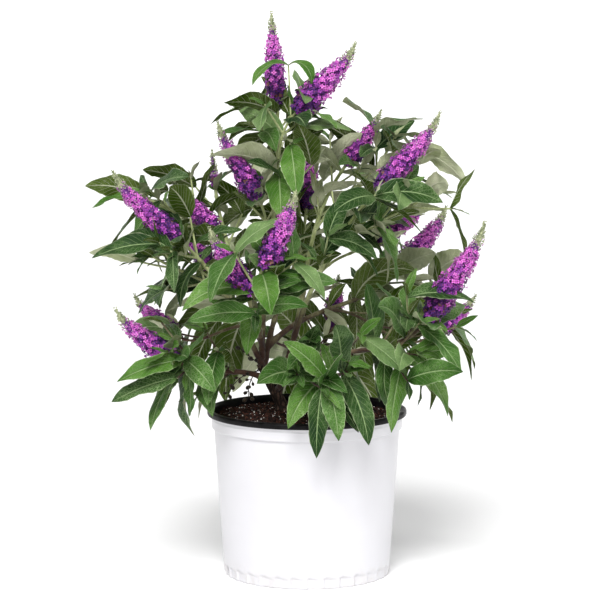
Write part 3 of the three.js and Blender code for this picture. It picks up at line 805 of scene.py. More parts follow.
def leafPoints(blade, rows, chance):
    shape, stride, count = leafShape, len(leafAcross), len(rows)
    length, width = blade["length"], blade["width"]
    share = np.repeat(rows, stride)
    across = np.tile(leafAcross, count)
    tooth = 1 + shape["tooth"] * np.where(np.repeat(np.arange(count), stride) % 2 == 0, 1, -1)
    across = np.where(np.abs(across) == 1, across * tooth, across)
    half = halfWidth(blade, share)
    swell = np.sin(np.pi * share)
    lift = np.abs(across) * half * chance(*shape["folds"])
    phase = np.where(across < 0, chance(0, 6.28), chance(0, 6.28))
    turns = chance(*shape["waves"]) * 2 * math.pi
    lift += shape["crown"] * width * (1 - (2 * np.abs(across) - 1) ** 2) * swell
    lift += shape["wave"] * length * np.sin(share * turns + phase) * across ** 2 * swell
    lift += across * half * share ** 2 * chance(-shape["twist"], shape["twist"])
    lift -= shape["groove"] * width * np.exp(-(across / shape["rib"]) ** 2) * (1 - share)
    lift -= np.tile(underSide, count) * shape["thick"] * (1 - 0.5 * share)
    lift -= np.tile(underRib, count) * shape["keel"] * length * (1 - 0.7 * share)
    ends = bladePoints(blade, np.array([0.0, 1.0]), np.zeros(2))
    return np.concatenate([bladePoints(blade, share, across, lift), ends]), share, across


def leafPiece(name, blades, chance):
    points, faces, kinds, maps = [], [], [], []
    start, tint, felt = 0, 0, leafShape["paintedShadeFelt"]
    for blade in blades:
        count = leafShape["smallRows" if blade["length"] < leafShape["small"] else "rows"]
        rows = np.linspace(leafShape["ends"][0], count - leafShape["ends"][1], count) / count
        made, share, across = leafPoints(blade, rows, chance)
        spots = np.concatenate([np.stack([share, (across + 1) / 2], 1), [[0, 0.5], [1, 0.5]]])
        if chance(0, 1) < leafShape["change"]:
            high = int(blade["base"][2] > leafShape["high"])
            tint = int(np.searchsorted(np.cumsum(leafShape["shares"][high]), chance(0, 0.999)))
            # the darker felt is painted shade, chosen more often low in the bush
            felt = leafShape["paleFelt" if chance(0, 1) < leafShape["pale"][high] else "paintedShadeFelt"]
        isFresh = blade["isYoung"] and chance(0, 1) < leafShape["youngFresh"]
        for group, kind in zip(leafTemplate(count), (leafShape["fresh"] if isFresh else tint, felt)):
            faces += [[start + k for k in face] for face in group]
            kinds += [kind] * len(group)
            maps += [spots[k] for face in group for k in face]
        points.append(made)
        start += len(made)
    piece = newPiece(name, np.concatenate(points), faces, leafMaterials, kinds)
    piece.data.uv_layers.new(name="leaf").data.foreach_set("uv", np.array(maps, dtype=np.float32).ravel())
    piece.data.set_sharp_from_angle(angle=math.radians(leafShape["sharp"]))
    return piece


for mass in masses:
    piece = leafPiece("leaves_" + mass["name"], mass["leaves"], chances(leafShape["seed"] + mass["index"]))
    keepPiece(piece, "foliage", "foliage_" + mass["name"])

# bark and young stems

stemFinish = {
    "bark": ((0.035, 0.018, 0.013), (0.15, 0.09, 0.065)), "barkCrack": (0.012, 0.007, 0.005),
    "brown": ((0.045, 0.02, 0.014), (0.12, 0.055, 0.036)), "green": ((0.29, 0.36, 0.12), (0.54, 0.6, 0.3)),
    "stemCrack": (0.03, 0.018, 0.012), "crackShare": 0.3, "greenFrom": (0.27, 0.4), "uneven": 0.06,
}


# long plates with cracks between them, for bark and for the stems' skin
def fissureGroup():
    tree, given, made = nodeGroup("Shader", "fissures", [
        ("Vector", "Vector"), ("Scale", "Float", 260.0), ("Stretch", "Vector", (1.0, 1.0, 0.16))],
        [("Crack", "Float"), ("Height", "Float")])
    stretched = tree.vector("MULTIPLY", {0: given["Vector"], 1: given["Stretch"]})
    wander = tree.add("ShaderNodeTexNoise", {"Vector": given["Vector"], "Scale": 90.0, "Detail": 2.0})
    moved = tree.vector("ADD", {0: stretched, 1: tree.vector("SCALE", {0: wander[1], "Scale": 0.004})})
    plate = tree.step(tree.cells(moved, given["Scale"]), 0.0, 0.3)
    tree.feed(made["Crack"], tree.minus(1.0, plate))
    tree.feed(made["Height"], tree.plus(plate, tree.times(wander[0], 0.5)))
    return tree.tree


fissures = fissureGroup()


def barkMaterial():
    finish = Finish("trunkBark", Specular_IOR_Level=0.25)
    lines = finish.add("ShaderNodeGroup", {"Vector": finish.place}, node_tree=fissures)
    mask, grain = finish.mottled(scale=60.0, grain=900.0, contrast=0.8)
    colour = finish.blend(lines["Crack"], finish.blend(mask, *stemFinish["bark"]), stemFinish["barkCrack"])
    return finish.done(colour, finish.scaled(grain, 0.25, 0.7), lines["Height"], depth=0.0012, strength=0.8)


# brown below and pale green above, with a soft sheen all over
def stemMaterial():
    finish = Finish("caneSkin", Specular_IOR_Level=0.3, Sheen_Weight=0.2)
    mask, grain = finish.mottled(scale=45.0, grain=1100.0, contrast=0.7)
    values = {"Vector": finish.place, "Scale": 420.0, "Stretch": (1.0, 1.0, 0.08)}
    lines = finish.add("ShaderNodeGroup", values, node_tree=fissures)
    brown, green = [finish.blend(mask, *stemFinish[word]) for word in ("brown", "green")]
    uneven = finish.times(finish.minus(mask, 0.5), stemFinish["uneven"])
    height = finish.plus(finish.split(finish.place)[2], uneven)
    aged = finish.blend(finish.step(height, *stemFinish["greenFrom"]), brown, green)
    share = finish.times(lines["Crack"], stemFinish["crackShare"])
    rough = finish.scaled(grain, 0.3, 0.5)
    relief = finish.plus(lines["Height"], grain)
    colour = finish.blend(share, aged, stemFinish["stemCrack"])
    return finish.done(colour, rough, relief, depth=0.0003, strength=0.6)


caneSkin = stemMaterial()

# the first two are a ring's sides, the depth of its ridges and how fine they are
limbShape = {
    "trunk": (44, 0.9, 0.42), "bough": (16, 0.2, 0.9), "trunkRings": 46, "flare": 0.1, "flareLobes": 5,
    "boughStep": 2.5, "knot": 0.22, "knotGap": 32, "slim": 0.97, "flareFall": 14, "ridgeStretch": 0.22,
}


def ringAt(centre, direction, radii):
    first, second = acrossOf(direction)
    turn = np.arange(len(radii)) * 2 * math.pi / len(radii)
    return centre + (np.outer(np.cos(turn), first) + np.outer(np.sin(turn), second)) * radii[:, None]


def skinFaces(rings, sides, start=0):
    faces, last = [], start + (rings - 1) * sides
    pairs = [(k, (k + 1) % sides) for k in range(sides)]
    for here in range(start, last, sides):
        faces += [(here + k, here + n, here + sides + n, here + sides + k) for k, n in pairs]
    return faces + [tuple(start + k for k in reversed(range(sides))), tuple(last + k for k in range(sides))]


# adds a skin over rings of points to a piece in the making, and says how many faces it has
def addSkin(points, faces, rings):
    made = skinFaces(len(rings), len(rings[0]), sum(len(ring) for ring in points))
    points += rings
    faces += made
    return len(made)


# a ring round a limb, with ridges that run along it and change slowly on the way
def ridgedRing(centre, direction, radius, sides, depth, fineness, swell=1.0):
    stretch = fineness * np.array([1, 1, limbShape["ridgeStretch"]])
    spots = ringAt(centre, direction, np.full(sides, radius)) * stretch
    values = np.array([noise.noise(Vector(spot)) + 0.5 * noise.noise(Vector(spot * 2.3)) for spot in spots])
    return ringAt(centre, direction, (radius + depth * values) * swell)


def trunkRings():
    shares, radii = zip(*trunk["radii"])
    sides = limbShape["trunk"][0]
    lobes = np.cos(np.arange(sides) * 2 * math.pi * limbShape["flareLobes"] / sides + 0.6)
    rings = []
    for share in np.linspace(0, 1, limbShape["trunkRings"]):
        radius = float(np.interp(share, shares, radii)) * limbShape["slim"]
        flare = 1 + limbShape["flare"] * math.exp(-share * limbShape["flareFall"]) * lobes
        rings.append(ridgedRing(trunkFoot + trunkWay * share, up, radius, *limbShape["trunk"], flare))
    return rings


def boughRings(mass):
    line = mass["shoots"][0]["fine"]
    whole = lengthOf(line) * mass["bare"] / mass["length"] + 3
    gap = limbShape["knotGap"]
    rings = []
    for distance in np.linspace(0.01, whole, max(4, round(whole / limbShape["boughStep"]))):
        radius = caneRadius(mass, distance)
        radius *= 1 + limbShape["knot"] * math.exp(-((distance % gap) - gap / 2) ** 2 / 6)
        rings.append(ridgedRing(*along(line, distance), radius, *limbShape["bough"]))
    return rings


def limbPiece():
    points, faces = [], []
    kinds = [0] * addSkin(points, faces, trunkRings())
    for mass in masses:
        kinds += [1] * addSkin(points, faces, boughRings(mass))
    return newPiece("trunk_and_boughs", np.concatenate(points), faces, [barkMaterial(), caneSkin], kinds)


keepPiece(limbPiece(), "bark", "trunk", *["bough_" + mass["name"] for mass in masses])


# sweeps a ring along every line, as thick as the line's own girth says
def tubeTree():
    tree, given, made = geometryTree("stems", [("Sides", "Int"), ("Skin", "Material")])
    curve = tree.add("GeometryNodeMeshToCurve", {"Mesh": given["Geometry"]})[0]
    ring = tree.add("GeometryNodeCurvePrimitiveCircle", {"Resolution": given["Sides"], "Radius": 1.0})[0]
    swept = tree.add("GeometryNodeCurveToMesh", {
        "Curve": curve, "Profile Curve": ring, "Scale": tree.named("girth", "FLOAT"), "Fill Caps": True})[0]
    smooth = tree.add("GeometryNodeSetShadeSmooth", {"Geometry": swept})[0]
    return endTree(tree, made, smooth, {"Material": given["Skin"]})


tubes = tubeTree()


# lines is a list of points and girths in millimetres
def linesObject(lines):
    edges, start = [], 0
    for line, _ in lines:
        edges += [(start + i, start + i + 1) for i in range(len(line) - 1)]
        start += len(line)
    points, girths = [np.concatenate(column) for column in zip(*lines)]
    return carrier(points, edges, girth=girths * millimetre)


stemShape = {"step": 3, "swell": 0.3, "swellReach": 5, "inCone": 0.97, "tip": 0.6, "sag": 0.02, "sides": 8}
coneBend = {"from": 0.62, "turn": 0.6}


# a place on a flower cone's axis, which bends up toward its tip, and the way that the axis runs there
def coneAxis(made, share):
    over = max(0.0, share - coneBend["from"]) / (1 - coneBend["from"])
    side = unit(up - made["way"] * made["way"][2] + np.array([1e-6, 0, 0]))
    bend = coneBend["turn"] * math.hypot(made["way"][0], made["way"][1])
    rise = 0.5 * bend * over ** 2 * (1 - coneBend["from"])
    place = made["end"] + (made["way"] * share + side * rise) * made["spike"]
    return place, unit(made["way"] + side * bend * over)


def stemLine(mass, made):
    line, length = made["fine"], lengthOf(made["fine"])
    isMain = made is mass["shoots"][0]
    begin = length * mass["bare"] / mass["length"] if isMain else 0
    distances = np.linspace(begin, length - 0.01, max(4, round((length - begin) / stemShape["step"])))
    points = np.array([along(line, distance)[0] for distance in distances])
    if isMain:
        girths = caneRadius(mass, distances)
    else:
        girths = np.interp(distances, [0, length], [cane["sideRadius"], cane["sideEndRadius"]])
    for below in leaf["nodes"]:
        joint = np.exp(-(distances - (length - below)) ** 2 / stemShape["swellReach"])
        girths = girths * (1 + stemShape["swell"] * joint)
    if made["spike"]:
        inner = [coneAxis(made, share)[0] for share in np.linspace(0, stemShape["inCone"], 9)[1:]]
        points = np.concatenate([points, inner])
        girths = np.concatenate([girths, np.linspace(girths[-1], stemShape["tip"], 9)[1:]])
    return points, girths


def stemPiece():
    lines = []
    shares = np.linspace(0, 1, 6)
    for mass in masses:
        lines += [stemLine(mass, made) for made in mass["shoots"]]
        for made in mass["twigs"]:
            start, end = made["line"]
            sag = np.sin(np.pi * shares)[:, None] * up * stemShape["sag"] * np.linalg.norm(end - start)
            line = start + (end - start) * shares[:, None] - sag
            lines.append((line, np.interp(shares, [0, 1], made["radii"])))
    return grow("green_stems", linesObject(lines), tubes, {"Sides": stemShape["sides"], "Skin": caneSkin})


keepPiece(stemPiece(), "foliage")

# flower cones: a slim core, whorls of small four-petalled flowers round it, and buds toward the tip

flowerCone = {
    "seed": 41, "slimFrom": 0.76, "slim": 0.4, "fullFrom": 0.15, "footWidth": 0.62, "youngGirth": 8,
    "flower": 3.3, "throat": 0.9, "tube": 5.0, "tubeRadius": 0.7, "bud": (1.35, 3.1), "reach": 0.96,
    "lump": 0.25, "lumpSize": 0.14, "knob": 0.2, "uneven": 0.1, "knobsAround": 8, "knobGap": 9.5,
    "flowers": {"gap": 3.2, "around": 4.7, "size": 1.0, "tilt": 0.35}, "flowersTo": 0.75, "youngTo": 0.3,
    "buds": {"gap": 2.7, "around": 3.1, "size": 0.8, "tilt": 0.8}, "budsFrom": 0.5,
    "core": 0.62, "coreSides": 12, "coreRings": 22, "greenCore": 0.74,
    # how far a spot strays round and along the cone and from its facing, and how deep it sits
    "swing": 0.2, "stray": 0.18, "climb": 0.35, "loose": 0.35, "sizes": (0.82, 1.12), "sunk": 0.4,
    # flowers thin out toward the buds, take their colour from a shade, and a few low ones are spent; the
    # shade is darker toward the cone's foot, partly the older flowers' own colour and partly painted shade,
    # and darker in the gaps between the lumps and lighter on their tops, painted shade and painted light
    "thinning": 9, "thinFrom": 0.25, "shadeSize": 0.05, "shade": 0.4, "shadeStray": 0.2, "knobPaintedShade": 0.26,
    "deepTo": 0.26, "violetTo": 0.52, "spentTo": 0.25, "spent": 0.09, "fewerBuds": 0.6, "mauveStray": 0.08,
    "mauveOver": 0.04,
    "colours": {
        "petalBright": ((0.4, 0.045, 0.38), (0.72, 0.19, 0.64)),
        "petalViolet": ((0.18, 0.018, 0.24), (0.35, 0.06, 0.41)),
        "petalDeep": ((0.03, 0.005, 0.07), (0.1, 0.016, 0.2)),
        "petalSpent": ((0.07, 0.03, 0.022), (0.2, 0.1, 0.06)),
        # a dark purple throat: painted shade in the hollow, in place of its own orange
        "flowerThroat": ((0.12, 0.015, 0.07), (0.3, 0.045, 0.14)),
        "budGreen": ((0.12, 0.15, 0.07), (0.44, 0.47, 0.28)),
        "budMauve": ((0.26, 0.1, 0.26), (0.5, 0.26, 0.48)),
        "coneCore": ((0.07, 0.008, 0.13), (0.15, 0.03, 0.2)),
    },
}


def petalMaterial(name, low, high):
    finish = Finish(name, Specular_IOR_Level=0.25, Sheen_Weight=0.15)
    mask, grain = finish.mottled(scale=240.0, grain=1600.0, contrast=0.9)
    rough = finish.scaled(grain, 0.3, 0.45)
    return finish.done(finish.blend(mask, low, high), rough, grain, depth=0.0002, strength=0.5)


coneSkins = {name: petalMaterial(name, *tint) for name, tint in flowerCone["colours"].items()}
cones = [made for mass in masses for made in mass["shoots"] if made["spike"]]


def coneRadius(made, share):
    slimFrom, fullFrom = flowerCone["slimFrom"], flowerCone["fullFrom"]
    taper = np.clip(share - fullFrom, 0, 1) / (slimFrom - fullFrom)
    full = np.where(share < fullFrom, flowerCone["footWidth"] + share * 2.5, 1 - 0.5 * taper ** 1.7)
    slim = flowerCone["slim"] * np.clip((1.02 - share) / 0.2, 0.3, 1)
    return float(made["girth"] * np.where(share < slimFrom, full, slim))


# one open flower, looking along +Z: four round petals, a hollow throat and the tube behind it
def flowerTemplate():
    size = flowerCone["flower"]
    reach = size * (0.42 + 0.58 * np.abs(np.cos(np.arange(16) * math.pi / 4)) ** 0.7)
    rim = ringAt(np.zeros(3), up, reach)
    rim[:, 2] = 0.5 - 0.75 * (reach / size) ** 3
    inner = ringAt(np.zeros(3), up, np.full(8, flowerCone["throat"]))
    tube = [ringAt(up * z, up, np.full(4, flowerCone["tubeRadius"])) for z in (-0.3, -flowerCone["tube"])]
    faces = []
    for k in range(8):
        here, there, out = 16 + k, 16 + (k + 1) % 8, 2 * k
        faces += [
            (24, here, there), (here, (out - 1) % 16, out), (here, out, out + 1), (here, out + 1, there)]
    throats = [i % 4 == 0 for i in range(len(faces))] + [False] * 4
    faces += [(25 + k, 25 + (k + 1) % 4, 29 + (k + 1) % 4, 29 + k) for k in range(4)]
    return np.concatenate([rim, inner, [[0, 0, -0.9]], *tube]), faces, throats


def budTemplate():
    radius, length = flowerCone["bud"]
    rings = [ringAt(up * length * (high - 0.3), up, np.full(6, radius * wide))
             for high, wide in ((0.0, 0.55), (0.45, 1.0), (0.8, 0.75))]
    faces = skinFaces(3, 6)[:-2]
    faces += [(18, (k + 1) % 6, k) for k in range(6)] + [(19, 12 + k, 12 + (k + 1) % 6) for k in range(6)]
    points = np.concatenate([*rings, [[0, 0, -0.45 * length], [0, 0, 0.75 * length]]])
    return points, faces, [False] * len(faces)


def templateObject(name, points, faces, throats):
    piece = newPiece(name, points, faces)
    setValues(piece.data, "throat", "BOOLEAN", "FACE", throats)
    return piece


# sets a copy of one small thing on every point, facing the way that the point says
def scatterTree():
    tree, given, made = geometryTree("flowers", [
        ("Thing", "Object"), ("Skin", "Material"), ("Throat Skin", "Material")])
    thing = tree.add("GeometryNodeObjectInfo", {"Object": given["Thing"], "As Instance": True})["Geometry"]
    points = tree.add("GeometryNodeMeshToPoints", {"Mesh": given["Geometry"]})[0]
    values = {"Axis": (0, 0, 1), "Angle": tree.named("spin", "FLOAT")}
    spun = tree.add("FunctionNodeAxisAngleToRotation", values)[0]
    values = {"Rotation": spun, "Vector": tree.named("facing", "FLOAT_VECTOR")}
    turned = tree.add("FunctionNodeAlignRotationToVector", values, axis="Z")[0]
    placed = tree.add("GeometryNodeInstanceOnPoints", {
        "Points": points, "Instance": thing, "Rotation": turned, "Scale": tree.named("size", "FLOAT")})[0]
    throat = {"Material": given["Throat Skin"], "Selection": tree.named("throat", "BOOLEAN")}
    return endTree(tree, made, placed, {"Material": given["Skin"]}, throat)


scatter = scatterTree()


# spots is a list of place, facing, spin and size
def scatterPiece(name, spots, thing, skin, throatSkin):
    places, facing, spin, size = zip(*spots)
    source = carrier(places, [], facing=facing, spin=spin, size=size)
    piece = grow(name, source, scatter, {"Thing": thing, "Skin": skin, "Throat Skin": throatSkin})
    keepPiece(piece, "foliage")


# whorls of spots up a cone between two shares of its length, a little unevenly full
def coneSpots(made, chance, low, high, rule):
    def stray(label):
        return chance(-flowerCone[label], flowerCone[label])

    spots = []
    gap, size = rule["gap"], rule["size"]
    distance = low * made["spike"]
    turn = chance(0, 6.28)
    while distance < high * made["spike"]:
        share = distance / made["spike"]
        radius = coneRadius(made, share)
        count = max(3, round(2 * math.pi * radius / rule["around"]))
        turn += math.pi / count + stray("swing")
        for k in range(count):
            angle = turn + 2 * math.pi * k / count + stray("stray")
            distanceHere = distance + stray("climb") * gap
            spot, axis = coneAxis(made, distanceHere / made["spike"])
            way = between(*acrossOf(axis), angle)
            rows = math.cos(math.pi * distanceHere / flowerCone["knobGap"])
            knob = math.cos(flowerCone["knobsAround"] * angle) * rows
            lump = noise.noise(Vector((spot + way * radius) * flowerCone["lumpSize"])) * flowerCone["lump"]
            facing = unit(way + axis * rule["tilt"] + np.array([stray("loose") for _ in range(3)]))
            full = flowerCone["reach"] + lump + flowerCone["knob"] * knob
            full += chance(-1, 1) * flowerCone["uneven"]
            place = spot + way * max(0.3, radius * full - size * flowerCone["sunk"])
            spin, scale = chance(0, 6.28), chance(*flowerCone["sizes"])
            spots.append((place, facing, spin, share, size * scale, knob))
        distance += gap * (0.75 + 0.25 * radius / made["girth"])
    return spots


def flowerPieces():
    c, chance = flowerCone, chances(flowerCone["seed"])
    bright, violet, deep, spent, green, mauve = groups = [[] for _ in range(6)]
    for made in cones:
        isYoung = made["girth"] < flowerCone["youngGirth"]
        openTo = flowerCone["youngTo" if isYoung else "flowersTo"]
        spots = coneSpots(made, chance, 0.0, openTo, flowerCone["flowers"])
        for place, facing, spin, share, size, knob in spots:
            if chance(0, 1) > (openTo - share) * c["thinning"] + c["thinFrom"]:
                continue
            # darker toward the foot, partly the older flowers' own colour and partly painted shade; darker in
            # the gaps between the lumps and lighter on their tops, painted shade and painted light
            shade = noise.noise(Vector(place * c["shadeSize"])) * c["shade"]
            shade += chance(-c["shadeStray"], c["shadeStray"]) + share + c["knobPaintedShade"] * knob
            group = deep if shade < c["deepTo"] else violet if shade < c["violetTo"] else bright
            if share < c["spentTo"] and chance(0, 1) < c["spent"]:
                group = spent
            group.append((place, facing, spin, size * (1 - 0.25 * share)))
        budsFrom = flowerCone["youngTo" if isYoung else "budsFrom"]
        spots = coneSpots(made, chance, budsFrom, 1.0, flowerCone["buds"])
        for place, facing, spin, share, size, _ in spots:
            if share < openTo and chance(0, 1) < c["fewerBuds"]:
                continue
            edge = openTo + c["mauveOver"]
            group = mauve if share + chance(-c["mauveStray"], c["mauveStray"]) < edge else green
            group.append((place, facing, spin, size * (1.25 - 0.5 * share)))
    flower = templateObject("flower", *flowerTemplate())
    bud = templateObject("bud", *budTemplate())
    names = ("flowers_bright", "flowers_violet", "flowers_deep", "flowers_spent", "buds_green", "buds_mauve")
    skins = ("petalBright", "petalViolet", "petalDeep", "petalSpent", "budGreen", "budMauve")
    for name, skin, spots in zip(names, skins, groups):
        thing = bud if name.startswith("buds") else flower
        scatterPiece(name, spots, thing, coneSkins[skin], coneSkins["flowerThroat"])
    bpy.data.objects.remove(flower)
    return bud


def corePiece():
    points, faces, kinds = [], [], []
    sides, rings = flowerCone["coreSides"], flowerCone["coreRings"]
    for made in cones:
        skin = []
        for share in np.linspace(0.01, 0.98, rings):
            radius = coneRadius(made, share) * flowerCone["core"]
            skin.append(ridgedRing(*coneAxis(made, share), radius, sides, 0.16 * radius, 0.6))
        count = addSkin(points, faces, skin)
        kinds += [int(i // sides > flowerCone["greenCore"] * rings) for i in range(count)]
    skins = [coneSkins["coneCore"], coneSkins["budGreen"]]
    return newPiece("cone_cores", np.concatenate(points), faces, skins, kinds)


capsule = flowerPieces()
keepPiece(corePiece(), "foliage")
print("flowers set")

# dry seed heads of last year, low beside the trunk: each line's start, middle and end

seedHead = {
    "seed": 77, "colours": ((0.012, 0.009, 0.006), (0.055, 0.035, 0.02)), "points": 12, "radii": (0.8, 0.45),
    "pairs": 4, "from": 0.45, "stalk": 5, "stalkRadius": 0.4, "size": 1.8,
    "lines": [
        ((-44, -1, 245), (-78, -16, 252), (-94, -22, 222)),
        ((-50, -3, 250), (-66, -20, 262), (-76, -26, 274)),
        ((-56, -3, 250), (-72, -10, 236), (-70, -14, 216))],
}


def seedPieces():
    chance = chances(seedHead["seed"])
    skin = petalMaterial("seedSkin", *seedHead["colours"])
    t = np.linspace(0, 1, seedHead["points"])[:, None]
    lines, spots = [], []
    for start, middle, end in np.array(seedHead["lines"], dtype=float):
        line = (1 - t) ** 2 * start + 2 * t * (1 - t) * middle + t ** 2 * end
        lines.append((line, np.linspace(*seedHead["radii"], seedHead["points"])))
        for share in np.linspace(seedHead["from"], 1, seedHead["pairs"]):
            spot, direction = along(line, lengthOf(line) * share * 0.999)
            turn = chance(0, math.pi)
            for half in (0, math.pi):
                way = unit(between(*acrossOf(direction), turn + half) + direction * 0.7)
                tip = spot + way * seedHead["stalk"] * chance(0.7, 1.3)
                lines.append((np.array([spot, tip]), np.full(2, seedHead["stalkRadius"])))
                spots.append((tip, way, chance(0, 6.28), seedHead["size"] * chance(0.75, 1.2)))
    scatterPiece("seed_capsules", spots, capsule, skin, skin)
    keepPiece(grow("seed_stalks", linesObject(lines), tubes, {"Sides": 6, "Skin": skin}), "foliage")
    bpy.data.objects.remove(capsule)


seedPieces()

# pot: a turned shell, white outside, black at the lip and inside, with flutes and drain slots at its foot

potShape = {
    "segments": 384, "footRadius": 100.6, "bodyRadius": 111.6, "collarRadius": 114.6, "collarHeight": 22,
    "lipHeight": 7, "wall": 2.2, "floor": 3.5, "footWall": 3.6, "flutes": 32, "fluteHeight": 11,
    "fluteDepth": 2.2, "drains": 2, "drainWidth": 7, "drainHeight": 10, "drainCorner": 1.5, "drainTurn": 18,
    "bead": 0.45, "beadHeight": 188, "sharp": 50,
}
potFinish = {
    "white": ((0.58, 0.573, 0.6), (0.63, 0.625, 0.65)), "dust": (0.5, 0.46, 0.42), "dustTo": 0.03,
    "dustShare": 0.3, "black": ((0.002, 0.002, 0.0023), (0.008, 0.0075, 0.008)),
}


def whitePlastic():
    finish = Finish("whitePlastic", Specular_IOR_Level=0.5, Coat_Weight=0.15)
    mask, grain = finish.mottled(scale=9.0, grain=700.0, contrast=0.5)
    specks = finish.mottled(scale=130.0, grain=900.0, contrast=1.6)[0]
    low = finish.minus(1.0, finish.step(finish.split(finish.place)[2], 0.0, potFinish["dustTo"]))
    dust = finish.times(finish.times(low, specks), potFinish["dustShare"])
    colour = finish.blend(dust, finish.blend(mask, *potFinish["white"]), potFinish["dust"])
    return finish.done(colour, finish.scaled(mask, 0.14, 0.3), grain, depth=0.00015, strength=0.35)


def blackPlastic():
    finish = Finish("blackPlastic", Specular_IOR_Level=0.1)
    mask, grain = finish.mottled(scale=60.0, grain=900.0, contrast=1.0)
    rough = finish.scaled(mask, 0.2, 0.3)
    return finish.done(finish.blend(mask, *potFinish["black"]), rough, grain, depth=0.0002, strength=0.4)


# the pot's outline from the middle of its underside, up the outside, over the lip and down the inside
def potOutline():
    p = potShape
    foot, body, collar, top = p["footRadius"], p["bodyRadius"], p["collarRadius"], pot["height"]
    step, lip, bead = top - p["collarHeight"], top - p["lipHeight"], p["beadHeight"]
    slope = (body - foot) / (step - 12)
    outside = [(r, 0) for r in np.linspace(20, foot - 2, 6)] + [(foot - 1.2, 0.3), (foot - 0.8, 1.2)]
    outside += [(np.interp(z, [1, 12], [foot - 0.8, foot]), z) for z in np.linspace(2, 12, 11)]
    outside += [(foot + 0.2, 13), (foot + 0.4, 14.5), (foot + 0.6, 17)]
    outside += [(foot + slope * (z - 12) + 0.1, z) for z in np.linspace(24, step - 4, 14)]
    outside += [
        (body, step - 1.6), (body + 0.3, step - 0.9), (collar - 0.9, step - 0.2), (collar - 0.2, step + 0.2),
        (collar, step + 0.9), (collar + 0.05, bead - 1.1), (collar + p["bead"], bead - 0.5),
        (collar + p["bead"], bead + 0.5), (collar + 0.1, bead + 1.1), (collar + 0.2, lip - 0.8),
        (collar + 0.9, lip - 0.1)]
    out, inner = pot["lipRadius"], collar - p["wall"]
    inside = [
        (out - 1.4, lip), (out - 0.4, lip + 0.5), (out, lip + 1.6), (out, top - 2.2), (out - 0.5, top - 0.8),
        (out - 1.8, top - 0.05), (out - 4.5, top), (inner + 1.2, top - 0.3), (inner + 0.2, top - 1.4),
        (inner, top - 4), (inner, top - 10), (inner, step + 0.6), (body - p["wall"], step - 1.5),
        (foot - p["footWall"], p["floor"]), (20, p["floor"])]
    return outside + inside, len(outside)


def turnedSkin(outline, segments):
    rings = [ringAt(up * z, up, np.full(segments, r)) for r, z in outline]
    return np.concatenate(rings), skinFaces(len(outline), segments)


def potPiece():
    p = potShape
    outline, blackFrom = potOutline()
    points, faces = turnedSkin(outline, p["segments"])
    radius = np.hypot(points[:, 0], points[:, 1])
    turnShare = (p["flutes"] * np.arctan2(points[:, 1], points[:, 0]) / (2 * math.pi)) % 1
    dip = np.where(turnShare < 0.1, turnShare / 0.1, (1 - turnShare) / 0.9)
    fade = np.clip((p["fluteHeight"] + 3.5 * dip - points[:, 2]) / 1.6, 0, 1)
    isFoot = (radius > p["footRadius"] - 2.5) & (points[:, 2] < 16)
    inward = np.where(isFoot, p["fluteDepth"] * dip ** 0.8 * fade, 0)
    points[:, :2] *= (1 - inward / radius)[:, None]
    kinds = (np.arange(len(faces)) // p["segments"] >= blackFrom).astype(int)
    kinds[-2:] = 0, 1  # the underside is white, the floor inside is black
    piece = newPiece("pot_shell", points, faces, [whitePlastic(), blackPlastic()], kinds)
    piece.data.set_sharp_from_angle(angle=math.radians(p["sharp"]))
    cutDrains(piece)
    return piece


# slots with round corners through the wall, just above the pot's floor
def cutDrains(piece):
    p = potShape
    corner = p["drainCorner"]
    wide, high = p["drainWidth"] / 2 - corner, p["drainHeight"] / 2 - corner
    middle = p["floor"] + 0.5 + p["drainHeight"] / 2
    outline = []
    for side, level, quarter in ((1, 1, 0), (-1, 1, 90), (-1, -1, 180), (1, -1, 270)):
        for angle in np.radians(quarter + np.arange(5) * 22.5):
            outline.append((side * wide + corner * math.cos(angle), level * high + corner * math.sin(angle)))
    points, faces = [], []
    for i in range(p["drains"]):
        turn = p["drainTurn"] + i * 360 / p["drains"]
        out, sideways = placeAt(turn, 1, 0), placeAt(turn + 90, 1, 0)
        addSkin(points, faces, [
            np.array([out * reach + sideways * x + up * (middle + z) for x, z in outline])
            for reach in (p["footRadius"] - 8, p["footRadius"] + 4)])
    cutter = newPiece("slots", np.concatenate(points), faces)
    modifier = piece.modifiers.new("slots", "BOOLEAN")
    modifier.object = cutter
    modifier.operation = "DIFFERENCE"
    modifier.solver = "EXACT"
    cut = plainMesh(piece)
    piece.modifiers.remove(modifier)
    piece.data = cut
    bpy.data.objects.remove(cutter)


keepPiece(potPiece(), "pot", "pot")

# potting mix: crumbly relief, with bark bits and white perlite lying on it

mixShape = {
    "segments": 180, "clearance": 0.3, "edgeDrop": 10, "crownDrop": 2, "crownRadius": 44, "ripple": 1.5,
    "relief": ((0.05, 1.0), (0.16, 0.9), (0.45, 0.6)), "rings": 58, "level": 0.184,
    "tint": ((0.004, 0.002, 0.0018), (0.04, 0.017, 0.012)),
    "bits": [
        ("bark_bits", "barkBit", ((0.005, 0.0022, 0.002), (0.13, 0.05, 0.035)), 0.0006,
         {"Density": 62000.0, "Size": 0.0015, "Flatness": 0.6, "Seed": 5}),
        ("perlite", "perliteBit", ((0.62, 0.58, 0.54), (0.92, 0.9, 0.88)), 0.0003,
         {"Density": 9000.0, "Size": 0.0011, "Flatness": 0.9, "Seed": 11})],
}


def crumbMaterial(name, tint, depth):
    finish = Finish(name, Specular_IOR_Level=0.2)
    mask, grain = finish.mottled(scale=260.0, grain=1300.0, contrast=1.2)
    rough = finish.scaled(grain, 0.2, 0.8)
    return finish.done(finish.blend(mask, *tint), rough, finish.plus(mask, grain), depth, strength=0.9)


